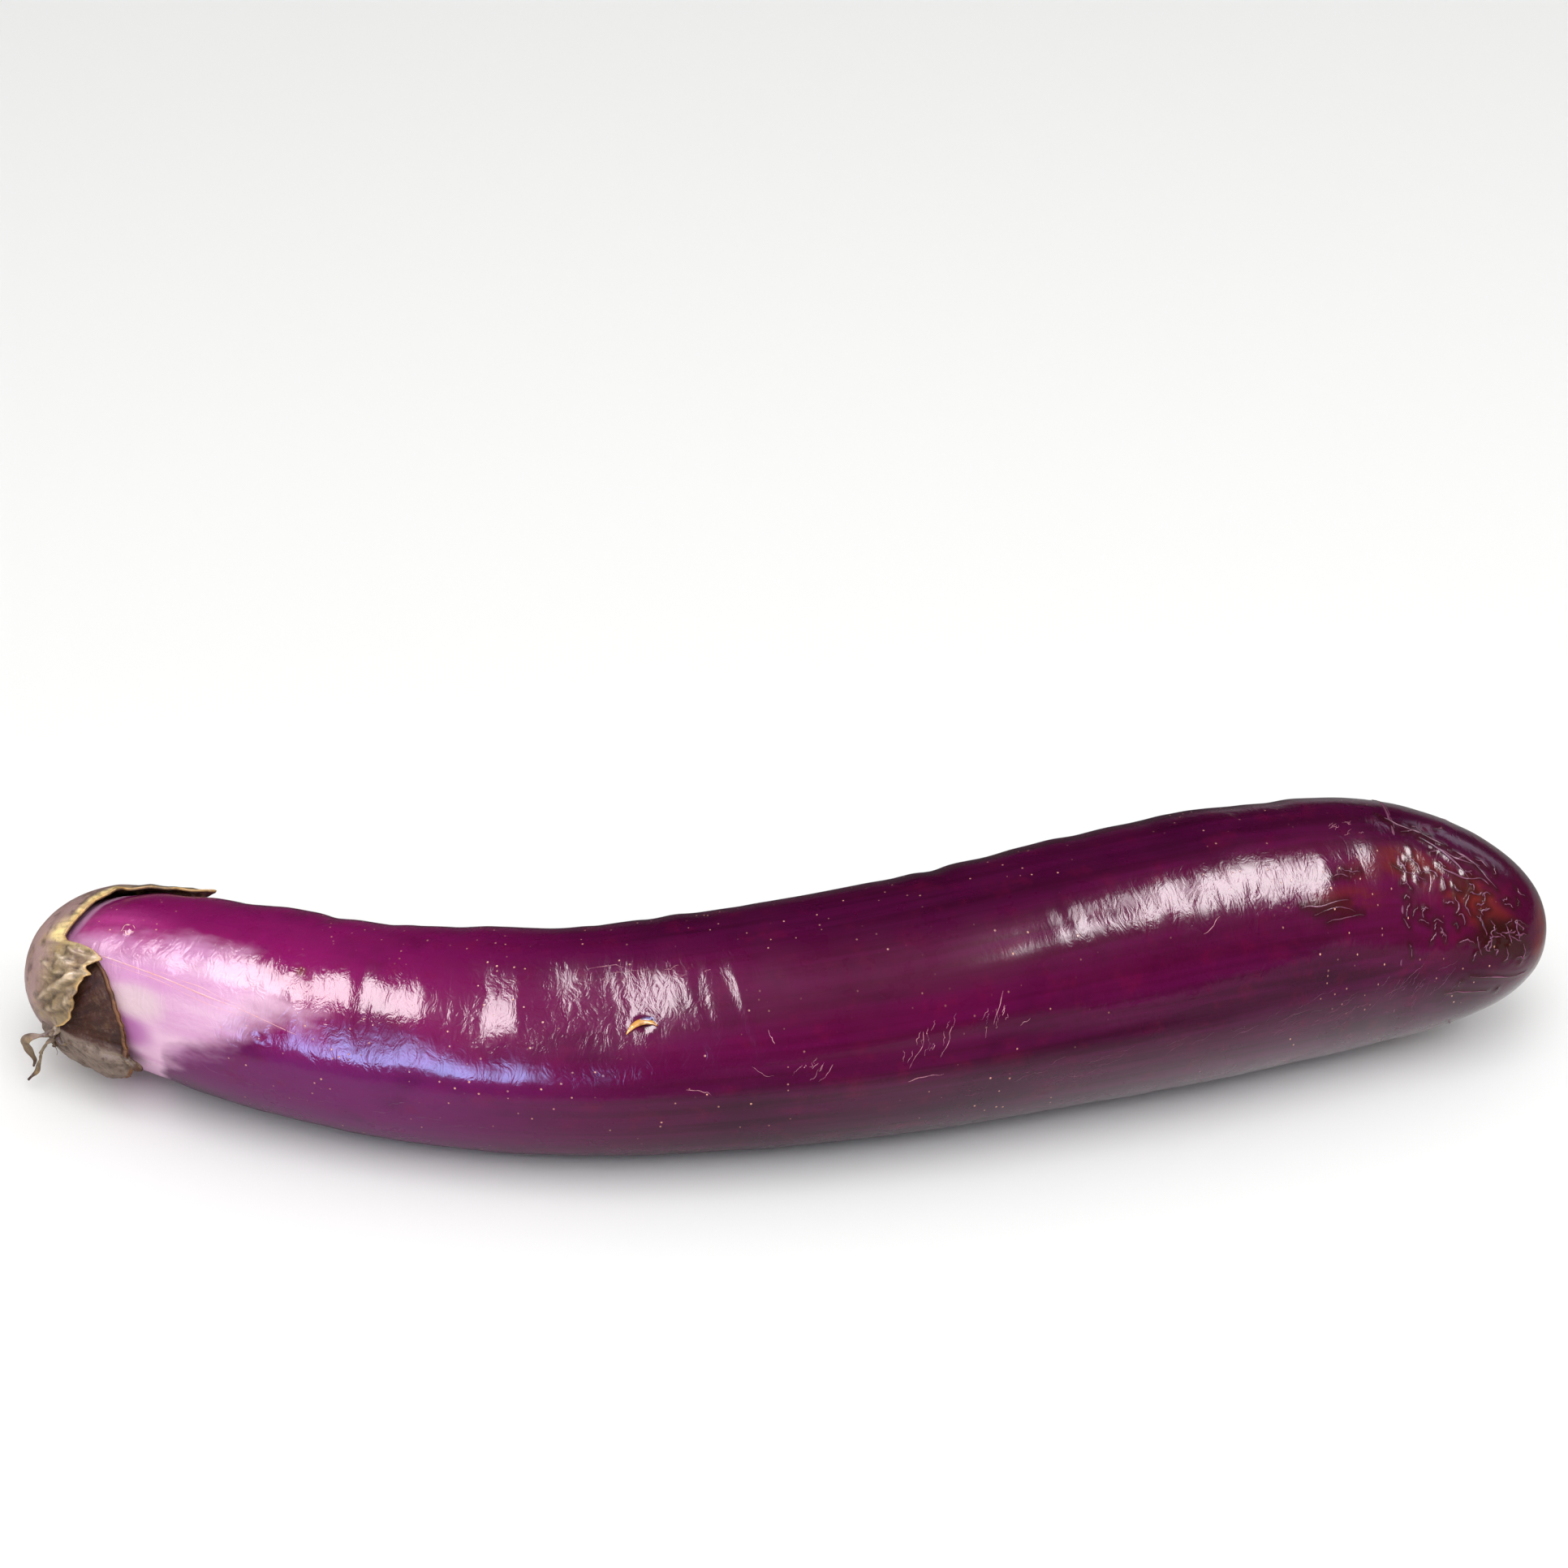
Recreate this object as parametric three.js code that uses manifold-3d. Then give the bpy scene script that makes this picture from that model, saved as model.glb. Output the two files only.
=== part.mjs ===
// A long, slender eggplant as picked: one solid fruit, the dried calyx that caps its neck, and the
// short stub of stem left by the cut.
//
// Units are millimetres. X runs from the neck to the blossom end and Z is up. The fruit lies on
// its belly, bowed towards -Y. Its surfaces are set out in coordinates that follow the fruit: a
// distance along X from the neck's end, and a turn round the spine, from the top towards -Y.
import * as THREE from "three";
import { mergeVertices } from "three/addons/utils/BufferGeometryUtils.js";
import Module from "manifold-3d";

// The fruit, in millimetres.
const FRUIT_LENGTH = 253; // along X
const GIRTH_RADIUS = 22.8; // at the fattest place
const NECK_CAP = 13; // length of the rounded shoulder under the calyx
const BLOSSOM_CAP = 42; // length of the rounded blossom end
const CAP_EXPONENT = 2.15; // 2 is an ellipse, and more is blunter
const FLAT_DEPTH = 0.4; // how far the belly is pressed flat where it rests
const NECK_LIFT = 3; // how far the neck's underside stands off the surface
const NECK_LIFT_END = 66; // where the belly has come down to the surface
const SECTION_RUN = 14; // each cross-section faces along this much of the spine, either way

// The bow of the spine seen from above: share of the length from the neck, and offset in Y.
const BOW = [
  [0, 23.2],
  [0.067, 16.2],
  [0.158, 6.4],
  [0.265, -1.3],
  [0.375, -4.4],
  [0.53, 0.6],
  [0.69, 12.4],
  [0.85, 25.8],
  [0.917, 27.4],
  [1, 24],
];

// The barrel before its ends are rounded: share of the length, and share of the girth radius.
const BARREL = [
  [0, 0.53],
  [0.08, 0.66],
  [0.155, 0.745],
  [0.265, 0.795],
  [0.35, 0.825],
  [0.45, 0.875],
  [0.59, 0.94],
  [0.7, 0.985],
  [0.765, 1],
  [0.835, 0.97],
  [0.9, 0.94],
  [1, 0.9],
];

// The calyx, in millimetres.
const CALYX_GAP = 0.5; // between the calyx and the fruit that it clasps
const CROWN_THICKNESS = 2.4;
const RIM_THICKNESS = 0.9;
const CUP_REACH = 9.5; // how far the cup runs along the neck between its sepals

// Its sepals: turn in degrees, reach past the cup, half width in degrees, and bluntness, where
// under 1 is pointed and 3 is broad.
const SEPALS = [
  { turn: 95, reach: 12, half: 58, blunt: 3 },
  { turn: 186, reach: 11, half: 32, blunt: 0.8 },
  { turn: 250, reach: 17, half: 36, blunt: 0.8 },
  { turn: 312, reach: 15, half: 38, blunt: 0.8 },
];

// The first sepal is folded back over the cup, from the rim to its tip near the crown.
const FOLD = { turn: 88, half: 40, tipReach: 7, tipTurn: 105, thickness: 1 };

// The folded sepal's dried tip hangs in two curls. Each follows these points, in X, Y and Z from
// the sepal's tip.
const CURLS = [
  [
    [1, 0, 0.2],
    [-2.8, -0.6, 0.2],
    [-4.7, 0.3, -2.4],
    [-4.3, 2, -7.6],
  ],
  [
    [1, 0, -0.4],
    [-1.4, -0.4, -2.2],
    [-3.2, 1, -6.2],
    [-5.2, 0.8, -10],
  ],
];
const CURL_ROOT = 0.7; // radius
const CURL_END = 0.4;

// The stem, in millimetres. It leaves the calyx backwards and a little down.
const STEM_DIRECTION = new THREE.Vector3(-0.42, 0.84, -0.34).normalize();
const STEM_RADIUS = 3.9;
const STEM_LENGTH = 7;
const BOSS_RADIUS = 5.6; // the calyx swells into a boss where the stem leaves it
const BOSS_HEIGHT = 2.2;
const PART_GAP = 0.3;

// Mesh fineness.
const FRUIT_STEPS = 56;
const FRUIT_SIDES = 36;
const CALYX_STEPS = 12;
const CALYX_SIDES = 72;
const CURL_STEPS = 10;
const CURL_SIDES = 6;
const STEM_SIDES = 20;

const wasm = await Module();
wasm.setup();

// Conversions between three.js geometry and manifold-3d solids.
function solidOf(geometry) {
  const bare = new THREE.BufferGeometry();
  bare.setAttribute("position", geometry.getAttribute("position"));
  bare.setIndex(geometry.getIndex());
  const merged = mergeVertices(bare, 1e-4);
  return new wasm.Manifold(
    new wasm.Mesh({
      numProp: 3,
      vertProperties: new Float32Array(merged.attributes.position.array),
      triVerts: new Uint32Array(merged.index.array),
    }),
  );
}

function geometryOf(solid) {
  const mesh = solid.getMesh();
  const geometry = new THREE.BufferGeometry();
  geometry.setAttribute("position", new THREE.BufferAttribute(mesh.vertProperties, 3));
  geometry.setIndex(new THREE.BufferAttribute(mesh.triVerts, 1));
  geometry.computeVertexNormals();
  return geometry;
}

// A smooth curve through [share, value] pairs, read at a share.
function curveThrough(pairs) {
  const knots = pairs.map(([share, value]) => new THREE.Vector2(share, value));
  const points = new THREE.SplineCurve(knots).getPoints(600);
  return (share) => {
    const after = Math.max(1, points.findIndex((point) => point.x >= share - 1e-9));
    const [from, to] = [points[after - 1], points[after]];
    return THREE.MathUtils.mapLinear(share, from.x, to.x, from.y, to.y);
  };
}

const bowAt = curveThrough(BOW);
const barrelShareAt = curveThrough(BARREL);

const clampReach = (reach) => THREE.MathUtils.clamp(reach, 0, FRUIT_LENGTH);
const barrelAt = (reach) => GIRTH_RADIUS * barrelShareAt(clampReach(reach) / FRUIT_LENGTH);

// How much of the barrel's radius is left at a distance in from a rounded end.
function capAt(distance, length) {
  const short = THREE.MathUtils.clamp(1 - distance / length, 0, 1);
  return (1 - short ** CAP_EXPONENT) ** (1 / CAP_EXPONENT);
}

function fruitRadius(reach) {
  return barrelAt(reach) * capAt(reach, NECK_CAP) * capAt(FRUIT_LENGTH - reach, BLOSSOM_CAP);
}

// The spine follows the barrel up and down, so that the belly keeps to the surface.
function spineAt(reach) {
  const lifted = THREE.MathUtils.smoothstep(NECK_LIFT_END - reach, 0, NECK_LIFT_END - 5);
  const height = barrelAt(reach) - FLAT_DEPTH + NECK_LIFT * lifted;
  return new THREE.Vector3(reach - FRUIT_LENGTH / 2, bowAt(reach / FRUIT_LENGTH), height);
}

// The spine's point and the axes of its cross-section. Short of the neck it runs on straight.
function sectionAt(reach) {
  const within = clampReach(reach);
  const [before, after] = [clampReach(within - SECTION_RUN), clampReach(within + SECTION_RUN)];
  const along = spineAt(after).sub(spineAt(before)).normalize();
  const side = new THREE.Vector3().crossVectors(along, new THREE.Vector3(0, 0, 1)).normalize();
  const up = new THREE.Vector3().crossVectors(side, along);
  const centre = spineAt(within).addScaledVector(along, reach - within);
  return { centre, along, side, up };
}

// The point at a turn, in radians, and a radius from the spine.
function pointAt(reach, turn, radius) {
  const { centre, side, up } = sectionAt(reach);
  return centre
    .addScaledVector(up, radius * Math.cos(turn))
    .addScaledVector(side, radius * Math.sin(turn));
}

// A closed body from rings of points, with a single point at each end.
function closeRings(start, rings, end) {
  const sides = rings[0].length;
  const points = [start, ...rings.flat(), end];
  const at = (ring, step) => 1 + ring * sides + (step % sides);
  const faces = [];
  for (let step = 0; step < sides; step += 1) {
    faces.push(0, at(0, step + 1), at(0, step));
    for (let ring = 0; ring < rings.length - 1; ring += 1) {
      faces.push(at(ring, step), at(ring + 1, step + 1), at(ring + 1, step));
      faces.push(at(ring, step), at(ring, step + 1), at(ring + 1, step + 1));
    }
    faces.push(at(rings.length - 1, step), at(rings.length - 1, step + 1), points.length - 1);
  }
  const geometry = new THREE.BufferGeometry().setFromPoints(points);
  geometry.setIndex(faces);
  return geometry;
}

const turnsOf = (sides) => Array.from({ length: sides }, (_, i) => (2 * Math.PI * i) / sides);
const stepsOf = (count) => Array.from({ length: count }, (_, i) => (i + 1) / count);

// The fruit: rings that crowd together towards the round ends, then pressed flat below.
function fruitSolid() {
  const rings = stepsOf(FRUIT_STEPS)
    .slice(0, -1)
    .map((even) => {
      const eased = (1 - Math.cos(Math.PI * even)) / 2;
      const reach = FRUIT_LENGTH * THREE.MathUtils.lerp(even, eased, 0.8);
      const radius = fruitRadius(reach);
      return turnsOf(FRUIT_SIDES).map((turn) => pointAt(reach, turn, radius));
    });
  const whole = solidOf(closeRings(spineAt(0), rings, spineAt(FRUIT_LENGTH)));
  const surface = new THREE.BoxGeometry(2 * FRUIT_LENGTH, FRUIT_LENGTH, GIRTH_RADIUS);
  surface.translate(0, 0, -GIRTH_RADIUS / 2);
  return whole.subtract(solidOf(surface));
}

// How far a turn is from another, as a share of a half width. Both are in degrees.
function shareOff(degrees, turn, half) {
  const apart = THREE.MathUtils.euclideanModulo(degrees - turn + 180, 360) - 180;
  return Math.min(1, Math.abs(apart) / half);
}

// How far the calyx runs along the neck at a turn in degrees.
function calyxReach(degrees) {
  return SEPALS.reduce((reach, { turn, reach: extra, half, blunt }) => {
    return reach + extra * (1 - shareOff(degrees, turn, half) ** blunt);
  }, CUP_REACH);
}

// How far the folded sepal stands off the cup: a tongue that narrows from the rim to its tip.
function foldAt(reach, degrees) {
  const back = (calyxReach(FOLD.turn) - reach) / (calyxReach(FOLD.turn) - FOLD.tipReach);
  const within = THREE.MathUtils.clamp(back, 0, 1);
  const turn = THREE.MathUtils.lerp(FOLD.turn, FOLD.tipTurn, within);
  const width = THREE.MathUtils.lerp(FOLD.half, 6, within);
  const across = 1 - shareOff(degrees, turn, width) ** 4;
  return FOLD.thickness * across * THREE.MathUtils.smoothstep(1.2 - back, 0, 0.2);
}

// A ring of the calyx's outer or inner skin, at a share of the way from its crown to its rim.
function calyxRing(share, outsetAt) {
  return turnsOf(CALYX_SIDES).map((turn) => {
    const degrees = THREE.MathUtils.radToDeg(turn);
    const start = -outsetAt(0, degrees, 0);
    const reach = THREE.MathUtils.lerp(start, calyxReach(degrees), share ** 1.6);
    const outset = outsetAt(share, degrees, reach);
    const cap = capAt(reach - start, NECK_CAP - start);
    return pointAt(reach, turn, (barrelAt(reach) + outset) * cap);
  });
}

const innerOutset = () => CALYX_GAP;

function outerOutset(share, degrees, reach) {
  const thickness = THREE.MathUtils.lerp(CROWN_THICKNESS, RIM_THICKNESS, Math.sqrt(share));
  return CALYX_GAP + thickness + foldAt(reach, degrees);
}

// A curl of dried tissue: a thin body that tapers along its path.
function curlSolid(path) {
  const height = CALYX_GAP + RIM_THICKNESS + FOLD.thickness;
  const turn = THREE.MathUtils.degToRad(FOLD.tipTurn);
  const tip = pointAt(FOLD.tipReach, turn, fruitRadius(FOLD.tipReach) + height);
  const curve = new THREE.CatmullRomCurve3(path.map((at) => new THREE.Vector3(...at).add(tip)));
  const rings = stepsOf(CURL_STEPS).map((share) => {
    const along = curve.getTangentAt(share);
    const side = new THREE.Vector3(0, 1, 0).cross(along).normalize();
    const up = new THREE.Vector3().crossVectors(side, along);
    return turnsOf(CURL_SIDES).map((turn) => {
      const radius = THREE.MathUtils.lerp(CURL_ROOT, CURL_END, share);
      return curve
        .getPointAt(share)
        .addScaledVector(up, radius * Math.cos(turn))
        .addScaledVector(side, radius * Math.sin(turn));
    });
  });
  return solidOf(closeRings(curve.getPointAt(0), rings, curve.getPointAt(1)));
}

// A body turned about +Y, stood on the neck's end so that it points along the stem.
const neck = sectionAt(NECK_CAP);

function alongStem(object, distance) {
  object.quaternion.setFromUnitVectors(new THREE.Vector3(0, 1, 0), STEM_DIRECTION);
  object.position.copy(neck.centre).addScaledVector(STEM_DIRECTION, distance);
  return object;
}

// Distance from the neck's centre to the boss's flat top.
const bossTop = fruitRadius(NECK_CAP) + CALYX_GAP + CROWN_THICKNESS + BOSS_HEIGHT;

function bossSolid() {
  const height = BOSS_HEIGHT + CROWN_THICKNESS;
  const flared = new THREE.CylinderGeometry(STEM_RADIUS + 0.4, BOSS_RADIUS, height, 24);
  const placed = alongStem(new THREE.Object3D(), bossTop - height / 2);
  placed.updateMatrix();
  return solidOf(flared.applyMatrix4(placed.matrix));
}

// The calyx: a cup over the neck whose rim runs out into sepals, with its curls and its boss.
function calyxSolid() {
  const outer = stepsOf(CALYX_STEPS).map((share) => calyxRing(share, outerOutset));
  const inner = stepsOf(CALYX_STEPS).map((share) => calyxRing(share, innerOutset));
  const pole = (outset) => pointAt(-outset, 0, 0);
  const start = pole(CALYX_GAP + CROWN_THICKNESS);
  const cup = solidOf(closeRings(start, [...outer, ...inner.reverse()], pole(CALYX_GAP)));
  return wasm.Manifold.union([cup, bossSolid(), ...CURLS.map(curlSolid)]);
}

// The stem: a short tapered stub, cut square.
function stemGeometry() {
  const profile = [
    [0, 0],
    [1, 0],
    [0.86, 0.35],
    [0.84, 0.7],
    [0.92, 1],
    [0, 1],
  ].map(([across, up]) => new THREE.Vector2(across * STEM_RADIUS, up * STEM_LENGTH));
  return new THREE.LatheGeometry(profile, STEM_SIDES);
}

function named(name, geometry, material) {
  const mesh = new THREE.Mesh(geometry, material);
  mesh.name = name;
  return mesh;
}

const skin = new THREE.MeshStandardMaterial({ color: 0x5a0a46, roughness: 0.2, metalness: 0 });
const husk = new THREE.MeshStandardMaterial({ color: 0x6b5a45, roughness: 0.75, metalness: 0 });
const cut = new THREE.MeshStandardMaterial({ color: 0x8c7f50, roughness: 0.85, metalness: 0 });

const eggplant = new THREE.Group();
eggplant.add(named("fruit", geometryOf(fruitSolid()), skin));
eggplant.add(named("calyx", geometryOf(calyxSolid()), husk));
eggplant.add(alongStem(named("stem", stemGeometry(), cut), bossTop + PART_GAP));

// The origin is under the middle of everything, on the surface that it rests on.
const centre = new THREE.Box3().setFromObject(eggplant).getCenter(new THREE.Vector3());
eggplant.position.set(-centre.x, -centre.y, 0);

export default eggplant;
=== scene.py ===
"""The looks of a long, slender eggplant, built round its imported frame.

Shapes are worked out in millimetres in the fruit's own growing frame, where a place on the skin is
a reach along the fruit from the neck and a turn round it in degrees, from the top towards -Y.
They are moved into the frame and turned into metres when a piece is made. Patterns of colour are
set in metres along and round the fruit, and their scales say how often they repeat in a metre.
"""

import math

import bpy
import numpy as np
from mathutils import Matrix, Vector


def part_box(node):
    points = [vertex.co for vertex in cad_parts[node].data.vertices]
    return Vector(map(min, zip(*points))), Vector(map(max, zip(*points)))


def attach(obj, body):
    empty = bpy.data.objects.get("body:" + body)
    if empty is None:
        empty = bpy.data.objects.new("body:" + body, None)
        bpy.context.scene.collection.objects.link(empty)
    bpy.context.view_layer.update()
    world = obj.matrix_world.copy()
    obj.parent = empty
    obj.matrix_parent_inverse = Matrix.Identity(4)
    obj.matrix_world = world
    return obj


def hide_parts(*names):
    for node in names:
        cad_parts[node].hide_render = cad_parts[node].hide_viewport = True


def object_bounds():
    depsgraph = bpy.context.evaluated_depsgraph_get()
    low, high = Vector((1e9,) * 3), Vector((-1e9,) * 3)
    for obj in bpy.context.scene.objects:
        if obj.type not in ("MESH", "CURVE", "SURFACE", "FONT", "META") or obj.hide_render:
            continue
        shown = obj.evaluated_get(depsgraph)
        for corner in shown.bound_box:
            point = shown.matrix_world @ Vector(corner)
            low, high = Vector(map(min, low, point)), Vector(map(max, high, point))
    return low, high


bl_info = {
    "name": "Long Eggplant",
    "version": (1, 0, 0),
    "blender": (4, 5, 0),
    "location": "3D View > Sidebar > Eggplant",
    "description": "A long eggplant as picked, with its dried calyx and its cut stem",
    "category": "Add Mesh",
}

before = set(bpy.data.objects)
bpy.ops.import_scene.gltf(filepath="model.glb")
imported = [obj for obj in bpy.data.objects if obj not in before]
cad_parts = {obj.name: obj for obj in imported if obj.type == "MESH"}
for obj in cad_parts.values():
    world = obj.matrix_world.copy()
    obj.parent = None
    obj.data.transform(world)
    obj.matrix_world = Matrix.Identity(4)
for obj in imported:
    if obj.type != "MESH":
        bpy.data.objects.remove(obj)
CAD_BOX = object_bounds()
FRUIT_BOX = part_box("fruit")
BODY = "root"
MM = 0.001

# The fruit's shape, as the frame has it, in millimetres.
FRUIT_LENGTH = 253.0
GIRTH_RADIUS = 22.8
NECK_CAP = 13.0
BLOSSOM_CAP = 42.0
CAP_EXPONENT = 2.15
FLAT_DEPTH = 0.4
NECK_LIFT = 3.0
NECK_LIFT_FULL = 5.0
NECK_LIFT_END = 66.0
SECTION_RUN = 14.0
# The bow of the spine seen from above: share of the length, and offset in mm.
BOW = [
    (0, 23.2), (0.067, 16.2), (0.158, 6.4), (0.265, -1.3), (0.375, -4.4), (0.53, 0.6),
    (0.69, 12.4), (0.85, 25.8), (0.917, 27.4), (1, 24),
]
# The barrel before its ends are rounded: share of the length, and share of the girth radius.
BARREL = [
    (0, 0.53), (0.08, 0.66), (0.155, 0.745), (0.265, 0.795), (0.35, 0.825), (0.45, 0.875),
    (0.59, 0.94), (0.7, 0.985), (0.765, 1), (0.835, 0.97), (0.9, 0.94), (1, 0.9),
]

# The stem leaves the neck backwards and a little down. Sizes are in millimetres.
STEM_HEADING = np.array([-0.42, 0.84, -0.34])
STEM_DIRECTION = STEM_HEADING / np.linalg.norm(STEM_HEADING)
STEM_RADIUS = 3.9
STEM_LENGTH = 7.0
BOSS_RADIUS = 5.6
BOSS_HEIGHT = 2.2
PART_GAP = 0.3
CALYX_GAP = 0.5
CROWN_THICKNESS = 2.4


def shade(red, green, blue):
    """A colour given as 0 to 255 on a screen, as linear light."""
    parts = [part / 255 for part in (red, green, blue)]
    return tuple(p / 12.92 if p <= 0.04045 else ((p + 0.055) / 1.055) ** 2.4 for p in parts)


# ---------------------------------------------------------------- the fruit's growing frame


def curve_through(knots):
    """A smooth curve through (share, value) knots, as a function of an array of shares."""
    knots = np.array(knots, float)
    last = len(knots) - 1
    steps = np.linspace(0, last, last * 100 + 1)
    cell = np.minimum(steps.astype(int), last - 1)
    part = (steps - cell)[:, None]
    here, there = knots[cell], knots[cell + 1]
    before = knots[np.maximum(cell - 1, 0)]
    after = knots[np.minimum(cell + 2, last)]
    leave, arrive = (there - before) / 2, (after - here) / 2
    points = (
        (2 * here - 2 * there + leave + arrive) * part**3
        + (-3 * here + 3 * there - 2 * leave - arrive) * part**2
        + leave * part
        + here
    )
    return lambda share: np.interp(share, points[:, 0], points[:, 1])


bow_at = curve_through(BOW)
barrel_share_at = curve_through(BARREL)


def ease(value, low, high):
    """0 below low, 1 above high, and a smooth rise between them."""
    part = np.clip((value - low) / (high - low), 0, 1)
    return part * part * (3 - 2 * part)


def between(value, start, full, fading, end):
    """1 from full to fading, 0 outside start and end, and smooth rises between them."""
    return ease(value, start, full) * (1 - ease(value, fading, end))


def hill(distance, half):
    """A round hill, 1 in its middle and 0 from half on."""
    return np.cos(np.clip(np.abs(distance) / half, 0, 1) * np.pi / 2) ** 2


def barrel_at(reach):
    """The fruit's radius before its ends are rounded, in mm."""
    return GIRTH_RADIUS * barrel_share_at(np.clip(reach, 0, FRUIT_LENGTH) / FRUIT_LENGTH)


def cap_at(distance, length):
    """The share of the radius at a distance from the tip of a rounded end."""
    short = np.clip(1 - distance / length, 0, 1)
    return (1 - short**CAP_EXPONENT) ** (1 / CAP_EXPONENT)


def fruit_radius(reach):
    """The fruit's radius with both of its ends rounded, in mm."""
    ends = cap_at(reach, NECK_CAP) * cap_at(FRUIT_LENGTH - reach, BLOSSOM_CAP)
    return barrel_at(reach) * ends


def spine_at(reach):
    """The spine's points in mm: along X, bowed in Y, and a radius above the surface."""
    lifted = ease(NECK_LIFT_END - reach, 0, NECK_LIFT_END - NECK_LIFT_FULL)
    height = barrel_at(reach) - FLAT_DEPTH + NECK_LIFT * lifted
    return np.stack([reach - FRUIT_LENGTH / 2, bow_at(reach / FRUIT_LENGTH), height], -1)


def section_at(reach):
    """The spine's points and the axes of their cross-sections: along, side and up."""
    within = np.clip(reach, 0, FRUIT_LENGTH)
    before = np.clip(within - SECTION_RUN, 0, FRUIT_LENGTH)
    after = np.clip(within + SECTION_RUN, 0, FRUIT_LENGTH)
    along = spine_at(after) - spine_at(before)
    along /= np.linalg.norm(along, axis=-1, keepdims=True)
    side = np.cross(along, [0.0, 0.0, 1.0])
    side /= np.linalg.norm(side, axis=-1, keepdims=True)
    up = np.cross(side, along)
    centre = spine_at(within) + along * (reach - within)[..., None]
    return centre, along, side, up


def point_at(reach, turn, radius):
    """Points at reaches, turns in degrees and radii from the spine."""
    reach, turn, radius = np.broadcast_arrays(
        np.asarray(reach, float), np.radians(turn), np.asarray(radius, float)
    )
    centre, _, side, up = section_at(reach)
    outward = up * np.cos(turn)[..., None] + side * np.sin(turn)[..., None]
    return centre + outward * radius[..., None]


def bspline(part):
    """The four weights of a smooth blend between neighbouring knots."""
    return (
        (1 - part) ** 3 / 6,
        (3 * part**3 - 6 * part**2 + 4) / 6,
        (-3 * part**3 + 3 * part**2 + 3 * part + 1) / 6,
        part**3 / 6,
    )


def soft_noise(along, around, cell, cells_round, seed):
    """Smooth noise about -1 to 1 over a skin: a cell's length along, and cells in a full turn."""
    rows = int(FRUIT_LENGTH / cell) + 12
    table = np.random.default_rng(seed).uniform(-1, 1, (rows, cells_round))
    across = (np.asarray(around, float) / 360 % 1) * cells_round
    down = np.asarray(along, float) / cell + 6
    row, column = np.floor(down).astype(int), np.floor(across).astype(int)
    total = 0
    for i, row_weight in enumerate(bspline(down - row)):
        for j, column_weight in enumerate(bspline(across - column)):
            knot = table[(row + i - 1) % rows, (column + j - 1) % cells_round]
            total = total + row_weight * column_weight * knot
    return 2 * total


def noises(along, around, *layers):
    """Layers of soft noise: each one's height, cell length, cells in a full turn, and seed."""
    return sum(height * soft_noise(along, around, *layer) for height, *layer in layers)


def creases(along, around, height, sharpness, *layer):
    """Noise that is folded into sharp crests. Its layer is a cell length, cells, and seed."""
    return height * (1 - sharpness * np.abs(soft_noise(along, around, *layer)))


def turn_apart(turn, other):
    """Degrees from one turn to another, from -180 to 180."""
    return (np.asarray(turn, float) - other + 180) % 360 - 180


def line_distance(reach, turn, places, degree_mm):
    """How far places on the skin are from a line through (reach, turn) places, in mm."""
    zero = places[0][1]
    spots = np.stack(np.broadcast_arrays(reach, turn_apart(turn, zero) * degree_mm), -1)
    line = [np.array([at, turn_apart(round_at, zero) * degree_mm]) for at, round_at in places]
    nearest = np.full(spots.shape[:-1], np.inf)
    for start, end in zip(line, line[1:]):
        run = end - start
        share = np.clip((spots - start) @ run / (run @ run), 0, 1)
        off = spots - start - share[..., None] * run
        nearest = np.minimum(nearest, np.hypot(off[..., 0], off[..., 1]))
    return nearest


def close_to(reach, places):
    """Which places lie within reach of a line, give or take 2 mm."""
    ends = [place[0] for place in places]
    return (reach > min(ends) - 2) & (reach < max(ends) + 2)


def wrapped_place(along, turn, radius):
    """Where a place round a tube lies for a pattern, in metres, without a seam."""
    angle = np.radians(turn)
    parts = np.broadcast_arrays(along, radius * np.cos(angle), radius * np.sin(angle))
    return np.stack(parts, -1) * MM


# ---------------------------------------------------------------- the skin's relief

# How many millimetres a degree of turn is worth where the scars of the blossom end lie.
BLOSSOM_MM_PER_DEGREE = 0.30
# The relief dies out over this reach, at the very tip.
RELIEF_END = (250.5, 252.8)
# Where the skin is smoothest: it starts, is smooth from and to, and ends at these reaches in mm.
SMOOTH_MIDDLE = (112, 124, 158, 176)
SMOOTH_TURN = 112
# Where the front slants, in the same way, and its middle turn and half width in degrees.
SLANT_RUN = (30, 44, 84, 104)
SLANT_TURN = 68
SLANT_HALF = 30

# The lit side: its middle turn and half width in degrees.
LIT_TURN = 39.0
LIT_HALF = 46.0
# Its knuckles, as slopes along the fruit. Each pair gives a reach in mm and the slope from there
# on: above 0 where the skin falls towards the blossom end, and below 0 where it climbs.
LIT_SLOPES = [
    (0, 0.0), (22, -0.02), (36, -0.02), (44, 0.0), (49, 0.10), (50, -0.03), (56.4, 0.30),
    (58.0, -0.04), (60.5, 0.06), (61.5, -0.03), (67.4, 0.17), (71.4, 0.0), (72.3, 0.19),
    (77.6, -0.04), (80.2, -0.07), (83.2, 0.16), (88.2, 0.10), (90.6, 0.04), (91.6, 0.08),
    (97.2, -0.09), (98.2, 0.05), (99.2, -0.10), (100.8, -0.02), (101.4, -0.09), (105.0, -0.11),
    (106.4, -0.18), (110.1, 0.10), (111.5, -0.15), (112.5, 0.08), (115.4, -0.28), (117.0, 0.04),
    (118, -0.02), (150, -0.01), (160, -0.02), (165.2, 0.06), (166.8, -0.03), (168.4, 0.05),
    (170.4, -0.02), (171.6, -0.02), (177.4, 0.06), (183, 0.0), (187, 0.06), (191, 0.0),
    (195, -0.06), (209.0, 0.13), (217, 0.03), (226, 0.0),
]
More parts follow.
